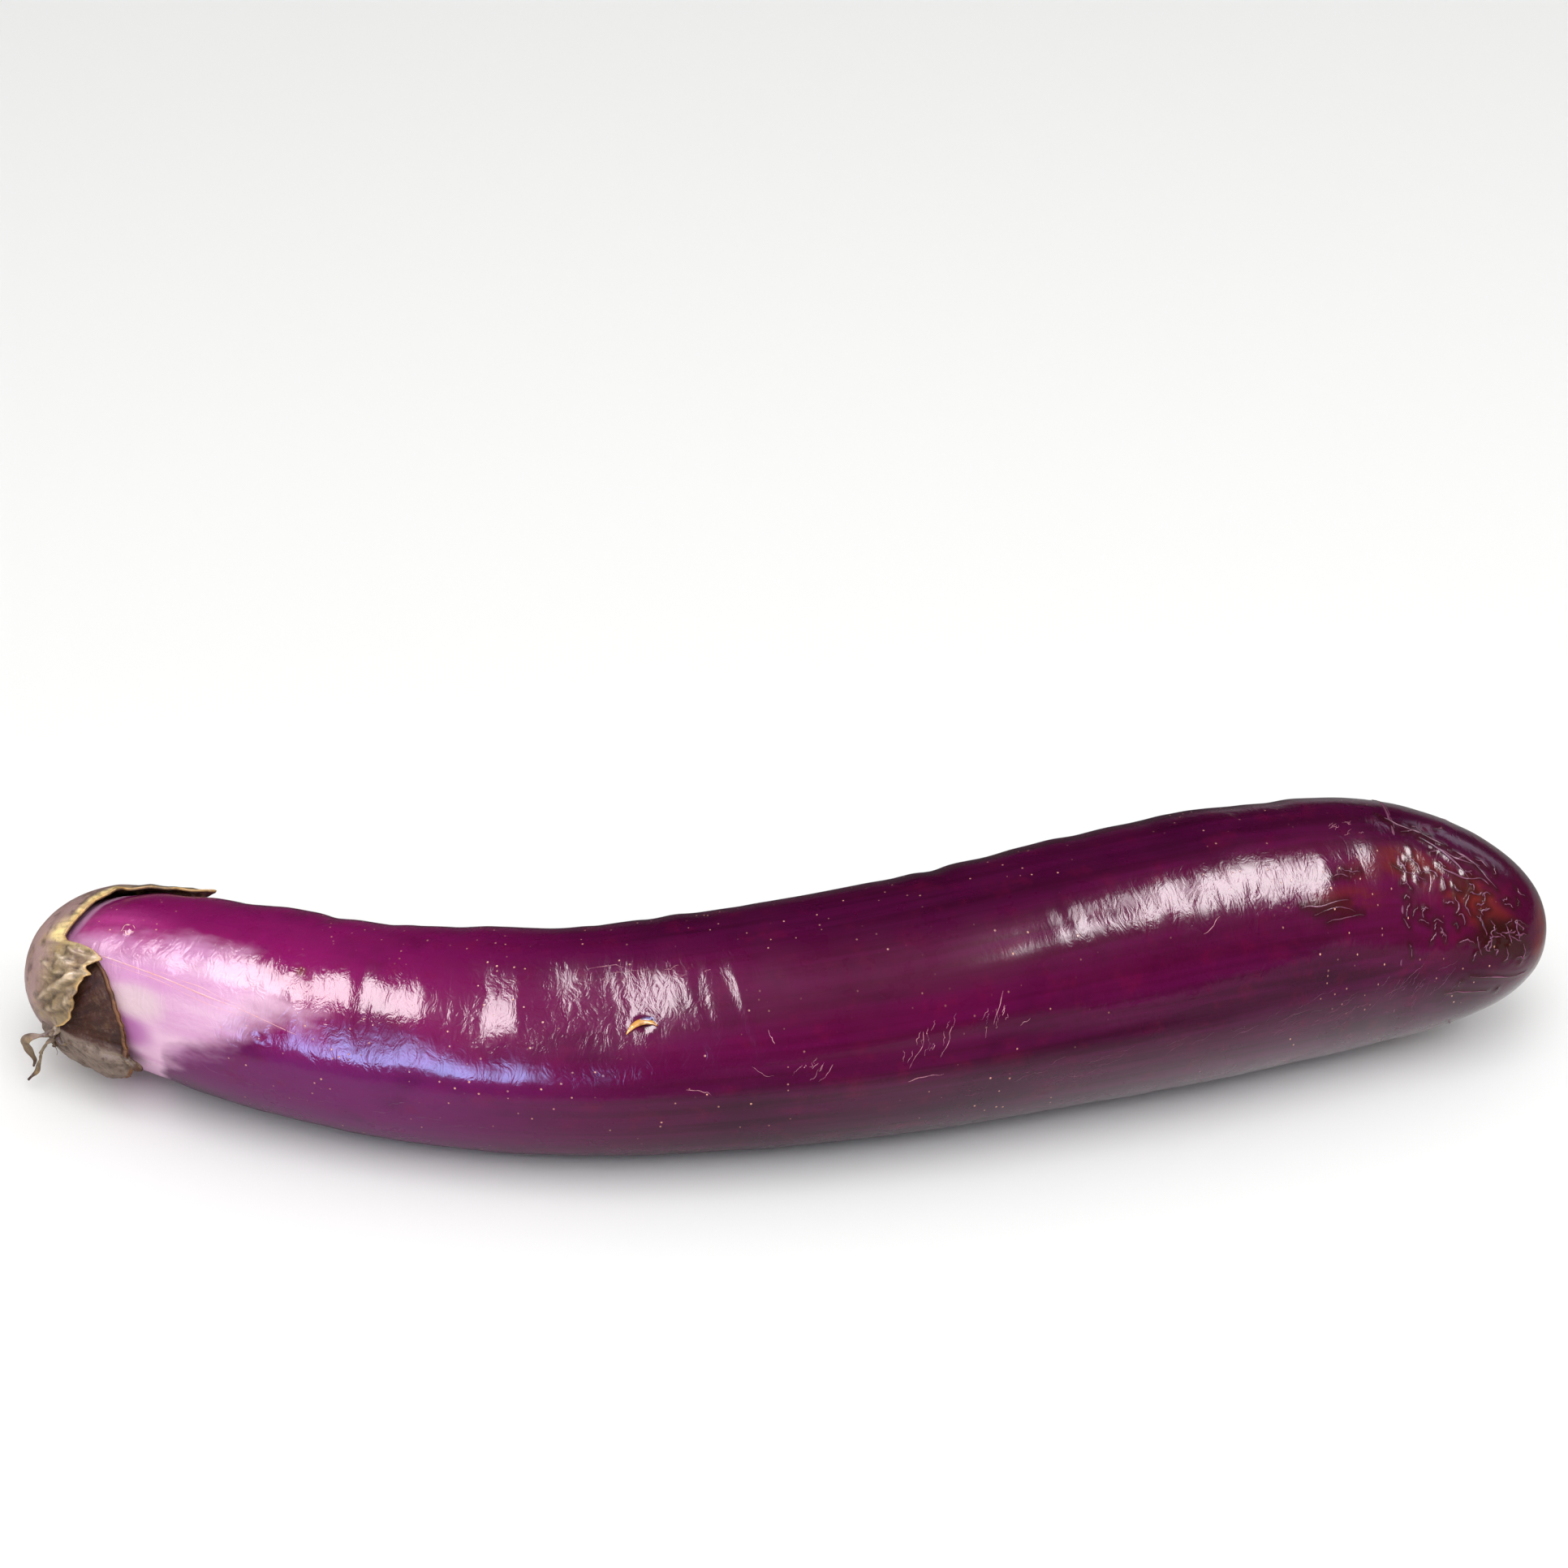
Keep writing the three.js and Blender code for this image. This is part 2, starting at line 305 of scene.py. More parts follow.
# How far it leans round the fruit: reach, and the slope across the fruit.
LIT_LEANS = [
    (0, 0.0), (56, 0.0), (66, 0.02), (76, 0.07), (88, 0.08), (100, 0.02), (118, 0.0),
    (156, 0.0), (170, -0.07), (182, -0.06), (194, 0.0), (208, 0.03), (222, 0.0),
]

# Pits: reach, turn, radius and depth in mm, with a depth below 0 for a blister.
PITS = [
    (34.8, 80.5, 0.9, 0.28), (39.7, 96.0, 0.8, 0.26), (44.2, 68.5, 1.0, 0.30),
    (54.0, 88.0, 0.7, 0.20), (18.6, 21.5, 1.5, -0.36), (18.0, 18.0, 1.0, -0.22),
    (15.4, 13.0, 0.7, -0.16), (21.5, 26.0, 0.6, -0.14), (101.4, 46.6, 1.8, 0.55),
    (79.5, 39.0, 0.6, 0.16), (70.0, 34.0, 0.6, 0.14), (106.2, 37.0, 0.5, 0.20),
    (107.0, 33.0, 0.4, 0.16), (46.0, 62.0, 0.7, 0.15), (126.0, 96.0, 0.8, 0.18),
    (160.0, 110.0, 0.8, 0.18),
]

# Lines of scar tissue: half width and height in mm, then (reach, turn) points.
SCAR_LINES = [
    (0.15, 0.18, [(223.5, 1), (226, 4), (229, 6), (231.5, 5)]),
    (0.14, 0.15, [(226, 9), (228.5, 6), (231, 8), (234, 10)]),
    (0.14, 0.15, [(222.5, 357), (224.5, 2), (225, 7)]),
    (0.17, 0.20, [(229, 10), (232.5, 14), (236, 20), (238.5, 27)]),
    (0.14, 0.15, [(231, 18), (233.5, 15), (236.5, 17), (240, 15)]),
    (0.14, 0.15, [(232, 24), (234.5, 27), (238, 27), (240.5, 24), (242, 26)]),
    (0.15, 0.18, [(235, 12), (238, 14), (241, 20), (243.5, 27)]),
    (0.12, 0.15, [(236, 40), (237, 46), (236.5, 50)]),
    (0.12, 0.13, [(238.5, 38), (238.2, 44), (239.5, 49)]),
    (0.11, 0.13, [(233.5, 33), (234, 36), (233.5, 39)]),
    (0.13, 0.15, [(241, 48), (241.5, 54), (242.5, 60)]),
    (0.13, 0.15, [(243, 60), (243.4, 66), (243.0, 71)]),
    (0.11, 0.13, [(240.8, 62), (241.2, 68), (242, 73)]),
    (0.12, 0.13, [(245.3, 50), (246.4, 58), (247, 65)]),
    (0.12, 0.13, [(247.6, 44), (247.8, 54), (248.4, 63)]),
    (0.11, 0.13, [(246.3, 68), (246.8, 75), (246.0, 80)]),
    (0.11, 0.13, [(249, 66), (249.4, 78), (248.8, 88)]),
    (0.11, 0.11, [(237.5, 66), (239, 63), (240.5, 66)]),
    (0.15, 0.11, [(240.5, 88), (244.5, 92), (248, 99), (250, 104)]),
    (0.12, 0.11, [(236, 97), (240, 99), (244, 104)]),
    (0.09, 0.09, [(212, 32), (214, 34), (216, 33)]),
    (0.09, 0.09, [(209.5, 36), (211.5, 34.5), (213, 36)]),
    (0.11, 0.11, [(226, 24), (228, 27), (229, 31)]),
    (0.09, 0.11, [(223, 30), (226, 33), (230, 34)]),
    (0.08, 0.06, [(205, 50), (209, 49), (213, 51)]),
    (0.08, 0.06, [(207, 54), (211, 52), (215, 52)]),
    (0.08, 0.06, [(203, 46), (207, 47), (212, 46)]),
]


def lit_profile():
    """The knuckles' height along the fruit, levelled so that it starts and ends at nothing."""
    starts, slopes = np.array(LIT_SLOPES).T
    reach = np.linspace(0, FRUIT_LENGTH, 2531)
    slope = slopes[np.searchsorted(starts, reach, side="right") - 1]
    blur = hill(np.linspace(-1, 1, 15), 1.0)
    padded = np.pad(slope, len(blur) // 2, mode="edge")
    slope = np.convolve(padded, blur / blur.sum(), mode="valid")
    height = -np.cumsum(slope) * (reach[1] - reach[0])
    height -= height[-1] * ease(reach, 12, 160)
    return reach, height


def scatter_puckers():
    """Short, bent puckers between the scars of the blossom end."""
    dice = np.random.default_rng(57)
    puckers = []
    for _ in range(84):
        reach = dice.uniform(224, 249)
        turn = dice.normal(40, 20) if dice.random() < 0.75 else dice.uniform(90, 330)
        heading, bend = dice.uniform(0, 2 * math.pi), dice.uniform(-0.9, 0.9)
        places = [(reach, turn)]
        for _ in range(3):
            step = dice.uniform(0.4, 0.9)
            reach = min(reach + step * math.cos(heading), 249.5)
            turn += step * math.sin(heading) / BLOSSOM_MM_PER_DEGREE
            heading += bend
            places.append((reach, turn))
        puckers.append((dice.uniform(0.07, 0.12), dice.uniform(0.10, 0.16), places))
    return puckers


LIT_REACH, LIT_HEIGHT = lit_profile()
PUCKERS = scatter_puckers()


def ripple_amount(reach, turn):
    """How strongly the skin ripples: least over the smooth middle and low on the near side."""
    amount = (1 - 0.85 * between(reach, *SMOOTH_MIDDLE)) * (1 - 0.35 * ease(reach, 205, 225))
    amount = amount * (1 + 0.7 * (1 - ease(reach, 44, 74)))
    return amount * (0.08 + 0.92 * ease(np.abs(turn_apart(turn, SMOOTH_TURN)), 14, 44))


def swells(reach, turn):
    """The broad unevenness of the whole fruit, in mm."""
    return noises(reach, turn, (0.34, 30, 5, 11), (0.12, 12, 8, 12))


def knuckles(reach, turn):
    """The ripples that cross the fruit, and the lit side's knuckles and lean, in mm."""
    knuckly = ripple_amount(reach, turn)
    relief = 0.12 * knuckly * soft_noise(reach, turn + 0.9 * reach, 5.2, 9, 13)
    relief = relief + 0.10 * knuckly * soft_noise(reach, turn + 2.0 * reach, 2.3, 13, 14)
    off_middle = turn_apart(turn, LIT_TURN)
    lit = hill(off_middle, LIT_HALF)
    wander = 1.1 * soft_noise(reach, turn, 9, 14, 19) + 0.04 * off_middle
    relief = relief + lit * np.interp(reach - wander, LIT_REACH, LIT_HEIGHT)
    lean = np.interp(reach, *np.array(LIT_LEANS).T)
    relief = relief + lean * lit * np.radians(off_middle) * GIRTH_RADIUS
    return relief + 0.07 * knuckly * lit * soft_noise(reach, turn, 3.6, 24, 10)


def front_slant(reach, turn):
    """A slant across the front, between the pale wedge and the middle, in mm."""
    off_middle = turn_apart(turn, SLANT_TURN)
    slant = 0.09 * np.radians(off_middle) * GIRTH_RADIUS
    return slant * between(reach, *SLANT_RUN) * hill(off_middle, SLANT_HALF)


def far_dents(reach, turn):
    """Shallow dents across the far side, in mm."""
    far = 1 - hill(turn_apart(turn, LIT_TURN), 75)
    dice = np.random.default_rng(31)
    dents = 0
    for _ in range(30):
        place, round_at = dice.uniform(30, 225), dice.uniform(165, 335)
        half, depth = dice.uniform(2.2, 6), dice.uniform(0.1, 0.36)
        across = hill(turn_apart(turn, round_at), dice.uniform(26, 60))
        dents = dents - depth * far * across * hill(reach - place, half)
    return dents


def pits_and_scars(reach, turn):
    """Pits with their raised rims, and the ridges of scars and puckers, in mm."""
    relief = np.zeros(reach.shape)
    for place, round_at, radius, depth in PITS:
        off = np.hypot(reach - place, np.radians(turn_apart(turn, round_at)) * barrel_at(reach))
        relief += 0.35 * depth * hill(off - radius, 0.5) - depth * hill(off, radius)
    for _, height, places in (*SCAR_LINES, *PUCKERS):
        near = close_to(reach, places)
        if near.any():
            off = line_distance(reach[near], turn[near], places, BLOSSOM_MM_PER_DEGREE)
            relief[near] += 0.7 * height * hill(off, 0.6) - 0.3 * height * hill(off - 0.9, 0.6)
    return relief


def crumples(reach, turn):
    """The fine crumpling between the scars of the blossom end, in mm."""
    amount = ease(reach, 214, 232) * hill(turn_apart(turn, 35), 70)
    return amount * noises(reach, turn, (0.07, 4.2, 30, 15), (0.02, 2.0, 60, 16))


def skin_relief(reach, turn):
    """How far the skin stands off the plain shape, in mm."""
    reach, turn = np.broadcast_arrays(np.asarray(reach, float), np.asarray(turn, float))
    reliefs = (swells, knuckles, front_slant, far_dents, pits_and_scars, crumples)
    total = sum(relief(reach, turn) for relief in reliefs)
    return total * (1 - ease(reach, *RELIEF_END))


def skin_point(reach, turn, outset=0.0):
    """Points on the finished skin, or a little off it. The belly rests flat on the surface."""
    reach = np.asarray(reach, float)
    relief = skin_relief(reach, turn) + outset
    shrink = np.clip(fruit_radius(reach) / 3, 0, 1)
    points = point_at(reach, turn, fruit_radius(reach) + relief * shrink)
    points[..., 2] = np.maximum(points[..., 2], 0.0)
    return points


def skin_and_outward(reach, turn, outset):
    """Points at an outset from the skin, and the way off the skin at each of them."""
    outward = skin_point(reach, turn, 1.0) - skin_point(reach, turn, 0.0)
    return skin_point(reach, turn, outset), outward


# ---------------------------------------------------------------- making pieces


def growing_offset():
    """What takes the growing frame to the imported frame, in metres."""
    reach = np.linspace(0, FRUIT_LENGTH, 500)[:, None]
    plain = point_at(reach, np.arange(0, 360, 2.0)[None, :], fruit_radius(reach))
    low, high = plain.min((0, 1)), plain.max((0, 1))
    middle = (np.array(FRUIT_BOX[0]) + np.array(FRUIT_BOX[1])) / 2
    offset = middle - (low + high) / 2 * MM
    offset[2] = FRUIT_BOX[0].z
    return offset


OFFSET = growing_offset()


class Surface:
    """Vertices in mm, faces, and where each face corner lies on the piece's map."""

    def __init__(self):
        self.points = []
        self.faces = []
        self.corners = []
        self.values = {}

    def add_points(self, points):
        """Adds vertices, and returns the number of the first one."""
        first = sum(len(block) for block in self.points)
        self.points.append(np.asarray(points, float).reshape(-1, 3))
        return first

    def add_rings(self, rings, start, end, values=None):
        """A closed skin of rings that wrap round, drawn together to a point at each end."""
        count, sides = rings.shape[:2]
        base = self.add_points(rings)
        ring, side = np.meshgrid(np.arange(count - 1), np.arange(sides), indexing="ij")
        after = (side + 1) % sides
        near, far = ring * sides, (ring + 1) * sides
        quads = np.stack([near + side, near + after, far + after, far + side], -1)
        self.faces += (quads.reshape(-1, 4) + base).tolist()
        u = np.stack([side, side + 1, side + 1, side], -1) / sides
        v = np.stack([ring, ring, ring + 1, ring + 1], -1) / (count - 1)
        self.corners.append(np.stack([u, v], -1).reshape(-1, 2))
        self.close_end(start, base, sides, 0.0, True)
        self.close_end(end, base + (count - 1) * sides, sides, 1.0, False)
        for name, value in (values or {}).items():
            around = np.asarray(value, float).reshape(count, sides, -1)
            tips = [around[at].mean(0, keepdims=True) for at in (0, -1)]
            block = np.concatenate([around.reshape(count * sides, -1), *tips])
            self.values.setdefault(name, []).append(block)

    def close_end(self, tip, first, sides, v, flip):
        """Triangles from a point to the ring that starts at the given vertex."""
        index = self.add_points(tip)
        for step in range(sides):
            here, there = first + step, first + (step + 1) % sides
            middle = [(step + 0.5) / sides, v]
            near, far = [step / sides, v], [(step + 1) / sides, v]
            self.faces.append([index, there, here] if flip else [index, here, there])
            self.corners.append(np.array([middle, far, near] if flip else [middle, near, far]))

    def make(self, name, material):
        """Turns it into a piece of the eggplant, in metres, in the frame."""
        mesh = bpy.data.meshes.new(name)
        points = np.concatenate(self.points) * MM + OFFSET
        mesh.from_pydata(points.tolist(), [], self.faces)
        layer = mesh.uv_layers.new(name="OFBake")
        layer.data.foreach_set("uv", np.concatenate(self.corners).astype("f").ravel())
        for key, blocks in self.values.items():
            data = np.concatenate(blocks)
            kind, field = ("FLOAT_VECTOR", "vector") if data.shape[1] == 3 else ("FLOAT", "value")
            stored = mesh.attributes.new(key, kind, "POINT")
            stored.data.foreach_set(field, data.astype("f").ravel())
        mesh.validate()
        mesh.shade_smooth()
        mesh.materials.append(material)
        piece = bpy.data.objects.new(name, mesh)
        bpy.context.scene.collection.objects.link(piece)
        return piece


def finish_piece(piece, slot, *replaced):
    """Rides a piece on the body, in place of the nodes that it replaces. Its slot is not used."""
    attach(piece, BODY)
    if replaced:
        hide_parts(*replaced)


def smooth_path(points, steps):
    """Points spread evenly along a smooth path through the given points of any width."""
    points = np.array(points, float)
    knots = np.linspace(0, 1, len(points))
    curves = [curve_through(list(zip(knots, column))) for column in points.T]
    fine = np.linspace(0, 1, 40 * len(points))
    dense = np.stack([curve(fine) for curve in curves], -1)
    run = np.linalg.norm(np.diff(dense[:, :3], axis=0), axis=1)
    travelled = np.concatenate([[0], np.cumsum(run)])
    even = np.linspace(0, travelled[-1], steps)
    return np.stack([np.interp(even, travelled, column) for column in dense.T], -1)


def ribbon_rings(path, outward, sides):
    """Rings of a ribbon. The path holds X, Y, Z, half width and half thickness in mm."""
    centre, half_width, half_thick = path[:, :3], path[:, 3], path[:, 4]
    along = np.gradient(centre, axis=0)
    along /= np.linalg.norm(along, axis=1, keepdims=True)
    outward = np.broadcast_to(np.asarray(outward, float), centre.shape)
    across = np.cross(outward, along)
    across /= np.linalg.norm(across, axis=1, keepdims=True)
    up = np.cross(along, across)
    turns = np.linspace(0, 2 * np.pi, sides, endpoint=False)
    wide = np.cos(turns)[None, :, None] * (across * half_width[:, None])[:, None]
    thick = np.sin(turns)[None, :, None] * (up * half_thick[:, None])[:, None]
    return centre[:, None] + wide + thick


# ---------------------------------------------------------------- shader helpers


def set_inputs(tree, node, values):
    """Links the values that are sockets to a node's inputs, and sets the others on them."""
    for socket, value in values.items():
        if isinstance(value, bpy.types.NodeSocket):
            tree.links.new(value, node.inputs[socket])
        else:
            node.inputs[socket].default_value = value


def wire(tree, kind, values=None, **settings):
    """Adds a shader node with its settings and the values of its inputs."""
    node = tree.nodes.new(kind)
    for name, setting in settings.items():
        setattr(node, name, setting)
    set_inputs(tree, node, values or {})
    return node


def rgba(colour):
    """A colour for an input: a socket stays as it is, and a plain colour gets an alpha of 1."""
    return colour if isinstance(colour, bpy.types.NodeSocket) else (*colour[:3], 1.0)


def blend_colours(tree, factor, first, second, way="MIX"):
    """The first colour, and the second one as far as the factor goes."""
    values = {0: factor, 6: rgba(first), 7: rgba(second)}
    return wire(tree, "ShaderNodeMix", values, data_type="RGBA", blend_type=way).outputs[2]


def reckon(tree, operation, *values):
    """Arithmetic on two or three values."""
    node = wire(tree, "ShaderNodeMath", dict(enumerate(values)), operation=operation)
    return node.outputs[0]


def times(tree, product, *factors):
    """The product of two or more values."""
    for factor in factors:
        product = reckon(tree, "MULTIPLY", product, factor)
    return product


def piled(tree, total, *layers):
    """A value with layers on top of it: each is a pattern, and how much of it is added."""
    for pattern, amount in layers:
        total = reckon(tree, "MULTIPLY_ADD", pattern, amount, total)
    return total


def rise(tree, value, low, high, start=0.0, finish=1.0):
    """A smooth rise from start to finish as the value goes from low to high."""
    run = {"From Min": low, "From Max": high, "To Min": start, "To Max": finish}
    values = {"Value": value, **run}
    node = wire(tree, "ShaderNodeMapRange", values, interpolation_type="SMOOTHSTEP")
    return node.outputs["Result"]


def stretched(tree, vector, scale):
    """A pattern's place, scaled differently in each direction."""
    return wire(tree, "ShaderNodeMapping", {"Vector": vector, "Scale": scale}).outputs["Vector"]


def grain(tree, vector, scale, detail=3.0, roughness=0.5, distortion=0.0):
    """Soft noise. A scale of three numbers stretches it along and round the fruit."""
    if isinstance(scale, tuple):
        vector, scale = stretched(tree, vector, scale), 1.0
    shape = {"Detail": detail, "Roughness": roughness, "Distortion": distortion}
    node = wire(tree, "ShaderNodeTexNoise", {"Vector": vector, "Scale": scale, **shape})
    return node.outputs["Fac"]


def along_x(tree, vector):
    """The X of a place or of a direction."""
    return wire(tree, "ShaderNodeSeparateXYZ", {0: vector}).outputs["X"]


def attribute(tree, name, output="Fac"):
    """A value that the mesh holds at its vertices."""
    return wire(tree, "ShaderNodeAttribute", attribute_name=name).outputs[output]


def own_place(tree):
    """Where a point lies in its piece, in metres."""
    return wire(tree, "ShaderNodeTexCoord").outputs["Object"]


def colour_run(tree, value, stops):
    """A colour that changes smoothly through (place, colour) stops."""
    node = wire(tree, "ShaderNodeValToRGB", {"Fac": value})
    elements = node.color_ramp.elements
    while len(elements) < len(stops):
        elements.new(0.5)
    for element, (place, colour) in zip(elements, stops):
        element.position = place
        element.color = rgba(colour)
    return node.outputs["Color"]


def bump_normal(tree, height):
    """The normal of fine relief whose height is in metres."""
    values = {"Strength": 1.0, "Distance": 1.0, "Height": height}
    return wire(tree, "ShaderNodeBump", values).outputs["Normal"]


def new_group(name, inputs, outputs):
    """A shader node group with its sockets: (name, kind, default) and (name, kind)."""
    group = bpy.data.node_groups.new(name, "ShaderNodeTree")
    for label, kind, default in inputs:
        kind = "NodeSocket" + kind
        socket = group.interface.new_socket(name=label, in_out="INPUT", socket_type=kind)
        if default is not None:
            socket.default_value = default
    for label, kind in outputs:
        kind = "NodeSocket" + kind
        group.interface.new_socket(name=label, in_out="OUTPUT", socket_type=kind)
    entry = group.nodes.new("NodeGroupInput")
    leave = group.nodes.new("NodeGroupOutput")
    return group, entry.outputs, leave.inputs


def mottle_group():
    """Uneven colour: two tints that come and go over a base colour, at two sizes."""
    name = "Mottled Tints"
    if name in bpy.data.node_groups:
        return bpy.data.node_groups[name]
    group, given, made = new_group(
        name,
        [
            ("Place", "Vector", None),
            ("Colour", "Color", rgba((0.5, 0.5, 0.5))),
            ("Dark Tint", "Color", rgba((0.1, 0.1, 0.1))),
            ("Pale Tint", "Color", rgba((0.8, 0.8, 0.8))),
            ("Patch Scale", "Float", 60.0),
            ("Speck Scale", "Float", 400.0),
            ("Dark Amount", "Float", 0.5),
            ("Pale Amount", "Float", 0.5),
        ],
        [("Colour", "Color")],
    )
    patches = grain(group, given["Place"], given["Patch Scale"], 4.0, 0.6)
    specks = grain(group, given["Place"], given["Speck Scale"], 3.0, 0.65)
    dark = times(group, rise(group, patches, 0.48, 0.68), given["Dark Amount"])
    pale = times(group, rise(group, specks, 0.52, 0.72), given["Pale Amount"])
    darker = blend_colours(group, dark, given["Colour"], given["Dark Tint"])
    mottled_colour = blend_colours(group, pale, darker, given["Pale Tint"])
    group.links.new(mottled_colour, made["Colour"])
    return group


def mottled(tree, place, colour, dark, pale, scales, amounts):
    """A colour with dark patches and pale specks, from their tints, scales and amounts."""
    values = {
        "Place": place,
        "Colour": rgba(colour),
        "Dark Tint": rgba(dark),
        "Pale Tint": rgba(pale),
        "Patch Scale": scales[0],
        "Speck Scale": scales[1],
        "Dark Amount": amounts[0],
        "Pale Amount": amounts[1],
    }
    return wire(tree, "ShaderNodeGroup", values, node_tree=mottle_group()).outputs["Colour"]


def fibre_group():
    """Fine lines that run along X of a place, with their height in metres."""
    name = "Fine Fibres"
    if name in bpy.data.node_groups:
        return bpy.data.node_groups[name]
    group, given, made = new_group(
        name,
        [
            ("Place", "Vector", None),
            ("Length Scale", "Float", 40.0),
            ("Width Scale", "Float", 900.0),
            ("Depth", "Float", 0.0001),
        ],
        [("Lines", "Float"), ("Height", "Float")],
    )
    across = given["Width Scale"]
    scales = {"X": given["Length Scale"], "Y": across, "Z": across}
    scale = wire(group, "ShaderNodeCombineXYZ", scales).outputs[0]
    factors = {0: given["Place"], 1: scale}
    place = wire(group, "ShaderNodeVectorMath", factors, operation="MULTIPLY").outputs[0]
    lines = grain(group, place, 1.0, 4.0, 0.6, 0.3)
    group.links.new(rise(group, lines, 0.3, 0.7), made["Lines"])
    group.links.new(times(group, lines, given["Depth"]), made["Height"])
    return group


def fibres(tree, place, length_scale, width_scale, depth=0.0):
    """The lines and the height of fibres that run along X of a place."""
    scales = {"Length Scale": length_scale, "Width Scale": width_scale}
    values = {"Place": place, **scales, "Depth": depth}
    made = wire(tree, "ShaderNodeGroup", values, node_tree=fibre_group()).outputs
    return made["Lines"], made["Height"]


def new_material(name):
    """A material with its node tree and its Principled shader."""
    material = bpy.data.materials.new(name)
    material.use_nodes = True
    return material, material.node_tree, material.node_tree.nodes["Principled BSDF"]


# ---------------------------------------------------------------- the skin

SKIN_SIDES = 206
SKIN_STEP = 0.62
# The radius, in mm, of the tube on which the skin's patterns are laid.
FLOW_RADIUS = 20.0
# The patterns: how often each repeats in a metre, along the fruit and both ways across it.
FRAY = (26, 230, 230)
BROAD_FRAY = (30, 90, 90)
BLOTCHES = (110, 190, 190)
CORK = (90, 260, 260)
RIPPLES = (470, 230, 230)
SCUFFS = (70, 900, 900)
PEEL = 1500.0
# How much relief the finest of them raise, in metres.
RIPPLE_HEIGHT = 0.00011
SCUFF_HEIGHT = 0.000008
PEEL_HEIGHT = 0.000006
SPECK_DEPTH = 0.00003

# The pale wedge of skin that the calyx shaded, between two turns at each reach.
WEDGE_REACH = [0, 14, 20, 24, 28, 32, 36, 40, 44, 48, 52]
WEDGE_UPPER = [33, 33, 31, 31, 30, 29, 29, 31, 38, 50, 52]
WEDGE_LOWER = [200, 190, 175, 150, 104, 91, 84, 76, 63, 52, 52]
# It runs out at this reach, and each degree of turn is worth so many millimetres there.
WEDGE_END = 49.0
WEDGE_MM_PER_DEGREE = 0.27

# Soft patches: reach, turn, half length in mm, half width in degrees, and strength.
RUSSET_PATCHES = [
    (212.5, 45.0, 11.0, 8.0, 0.6), (217.0, 33.0, 7.0, 9.0, 0.35),
    (226.0, 27.0, 9.0, 13.0, 0.85), (232.0, 31.0, 7.0, 13.0, 0.75),
    (238.5, 36.0, 8.0, 16.0, 1.0), (242.0, 46.0, 7.0, 14.0, 0.85), (48.4, 30.0, 1.2, 4.0, 0.9),
    (150.0, 214.0, 9.0, 12.0, 0.6), (232.0, 170.0, 6.0, 14.0, 0.7),
    (253.0, 0.0, 3.0, 500.0, 0.9),
]
BRUISES = [
    (101.6, 46.4, 1.8, 5.0, 0.9), (237.0, 33.0, 3.4, 9.0, 0.6), (244.6, 60.0, 6.0, 20.0, 1.0),
    (247.5, 68.0, 4.0, 16.0, 0.8), (228.0, 250.0, 6.0, 16.0, 0.5),
    (253.0, 0.0, 0.3, 500.0, 0.55),
]
BLUSHES = [(21.5, 87, 6.5, 16, 0.8), (33, 96, 5, 14, 0.5)]
GREEN_PATCHES = [(23.5, 67, 7.0, 15, 0.45)]

# Painted shade round the fruit, darkest on its top and its lower side: turn, and the share of the
# dark shade colour.
SIDE_SHADE = [
    (-90, 0.55), (-30, 0.6), (0, 0.75), (10, 0.6), (22, 0.15), (32, 0.0), (45, 0.15),
    (60, 0.28), (72, 0.5), (84, 0.75), (100, 0.8), (130, 0.7), (200, 0.5), (270, 0.55),
]

# Scratches: half width in mm, then (reach, turn) points.
SCRATCH_LINES = [
    (0.045, [(139.4, 82.5), (141.0, 74), (141.8, 66)]),
    (0.035, [(143.8, 79), (145.2, 72), (146, 66)]),
    (0.05, [(152.2, 68), (153.6, 61), (154.2, 56)]),
    (0.06, [(106.7, 81), (109.0, 82), (110.4, 85)]),
    (0.035, [(126.0, 83), (127.4, 79), (128.2, 75)]),
    (0.03, [(116.5, 72), (118, 76), (119.6, 77.5)]),
    (0.06, [(139.0, 89), (141.6, 88.4), (144.4, 88.2)]),
    (0.035, [(119.5, 56), (119.8, 60), (120.2, 63)]),
    (0.03, [(95.5, 18), (99, 17.5), (103, 18)]),
    (0.03, [(93, 14), (96.5, 13.5), (99, 14)]),
    (0.04, [(186.5, 50), (188.5, 46), (189.6, 44)]),
]
# Groups of finer scratches: how many, their middle (reach, turn), spread in mm and degrees,
# heading in degrees from the fruit's length, and longest length in mm.
SCRATCH_GROUPS = [
    (16, (150, 66), (9, 9), 66, 3.0),
    (8, (142, 73), (3, 6), 70, 3.2),
    (8, (124, 76), (7, 6), 52, 2.4),
    (8, (214, 8), (8, 5), 30, 2.4),
    (8, (100, 22), (9, 6), 8, 2.6),
    (30, (130, 220), (80, 50), 20, 4.0),
]
# Healed scratches, given in the same way. They take the colour of the scars.
HEALED_GROUPS = [
    (34, (205, 97), (18, 9), 24, 7.0),
    (22, (229, 92), (9, 11), 44, 6.0),
    (16, (165, 99), (16, 8), 14, 5.0),
    (10, (60, 100), (24, 8), 8, 5.0),
]
SCRATCH_HEIGHT = 0.03
# The neck's veins: half width in mm, then (reach, turn) points.
VEIN_LINES = [
    (0.13, [(15.8, 42.5), (20, 45.2), (27.3, 49.0), (34.8, 52.8), (41.4, 57.0), (50, 62.5)]),
    (0.05, [(17.2, 46.5), (22, 48.6), (28.5, 52.6), (36, 57.4), (43, 61.2)]),
    (0.04, [(26, 45.5), (34, 50.2), (42, 55.2)]),
    (0.10, [(17.6, 23.5), (17.9, 20.2), (18.9, 18.9), (19.9, 20.6)]),
    (0.08, [(18.2, 24.0), (18.9, 24.8), (19.7, 23.4)]),
]
VEIN_HEIGHT = 0.03

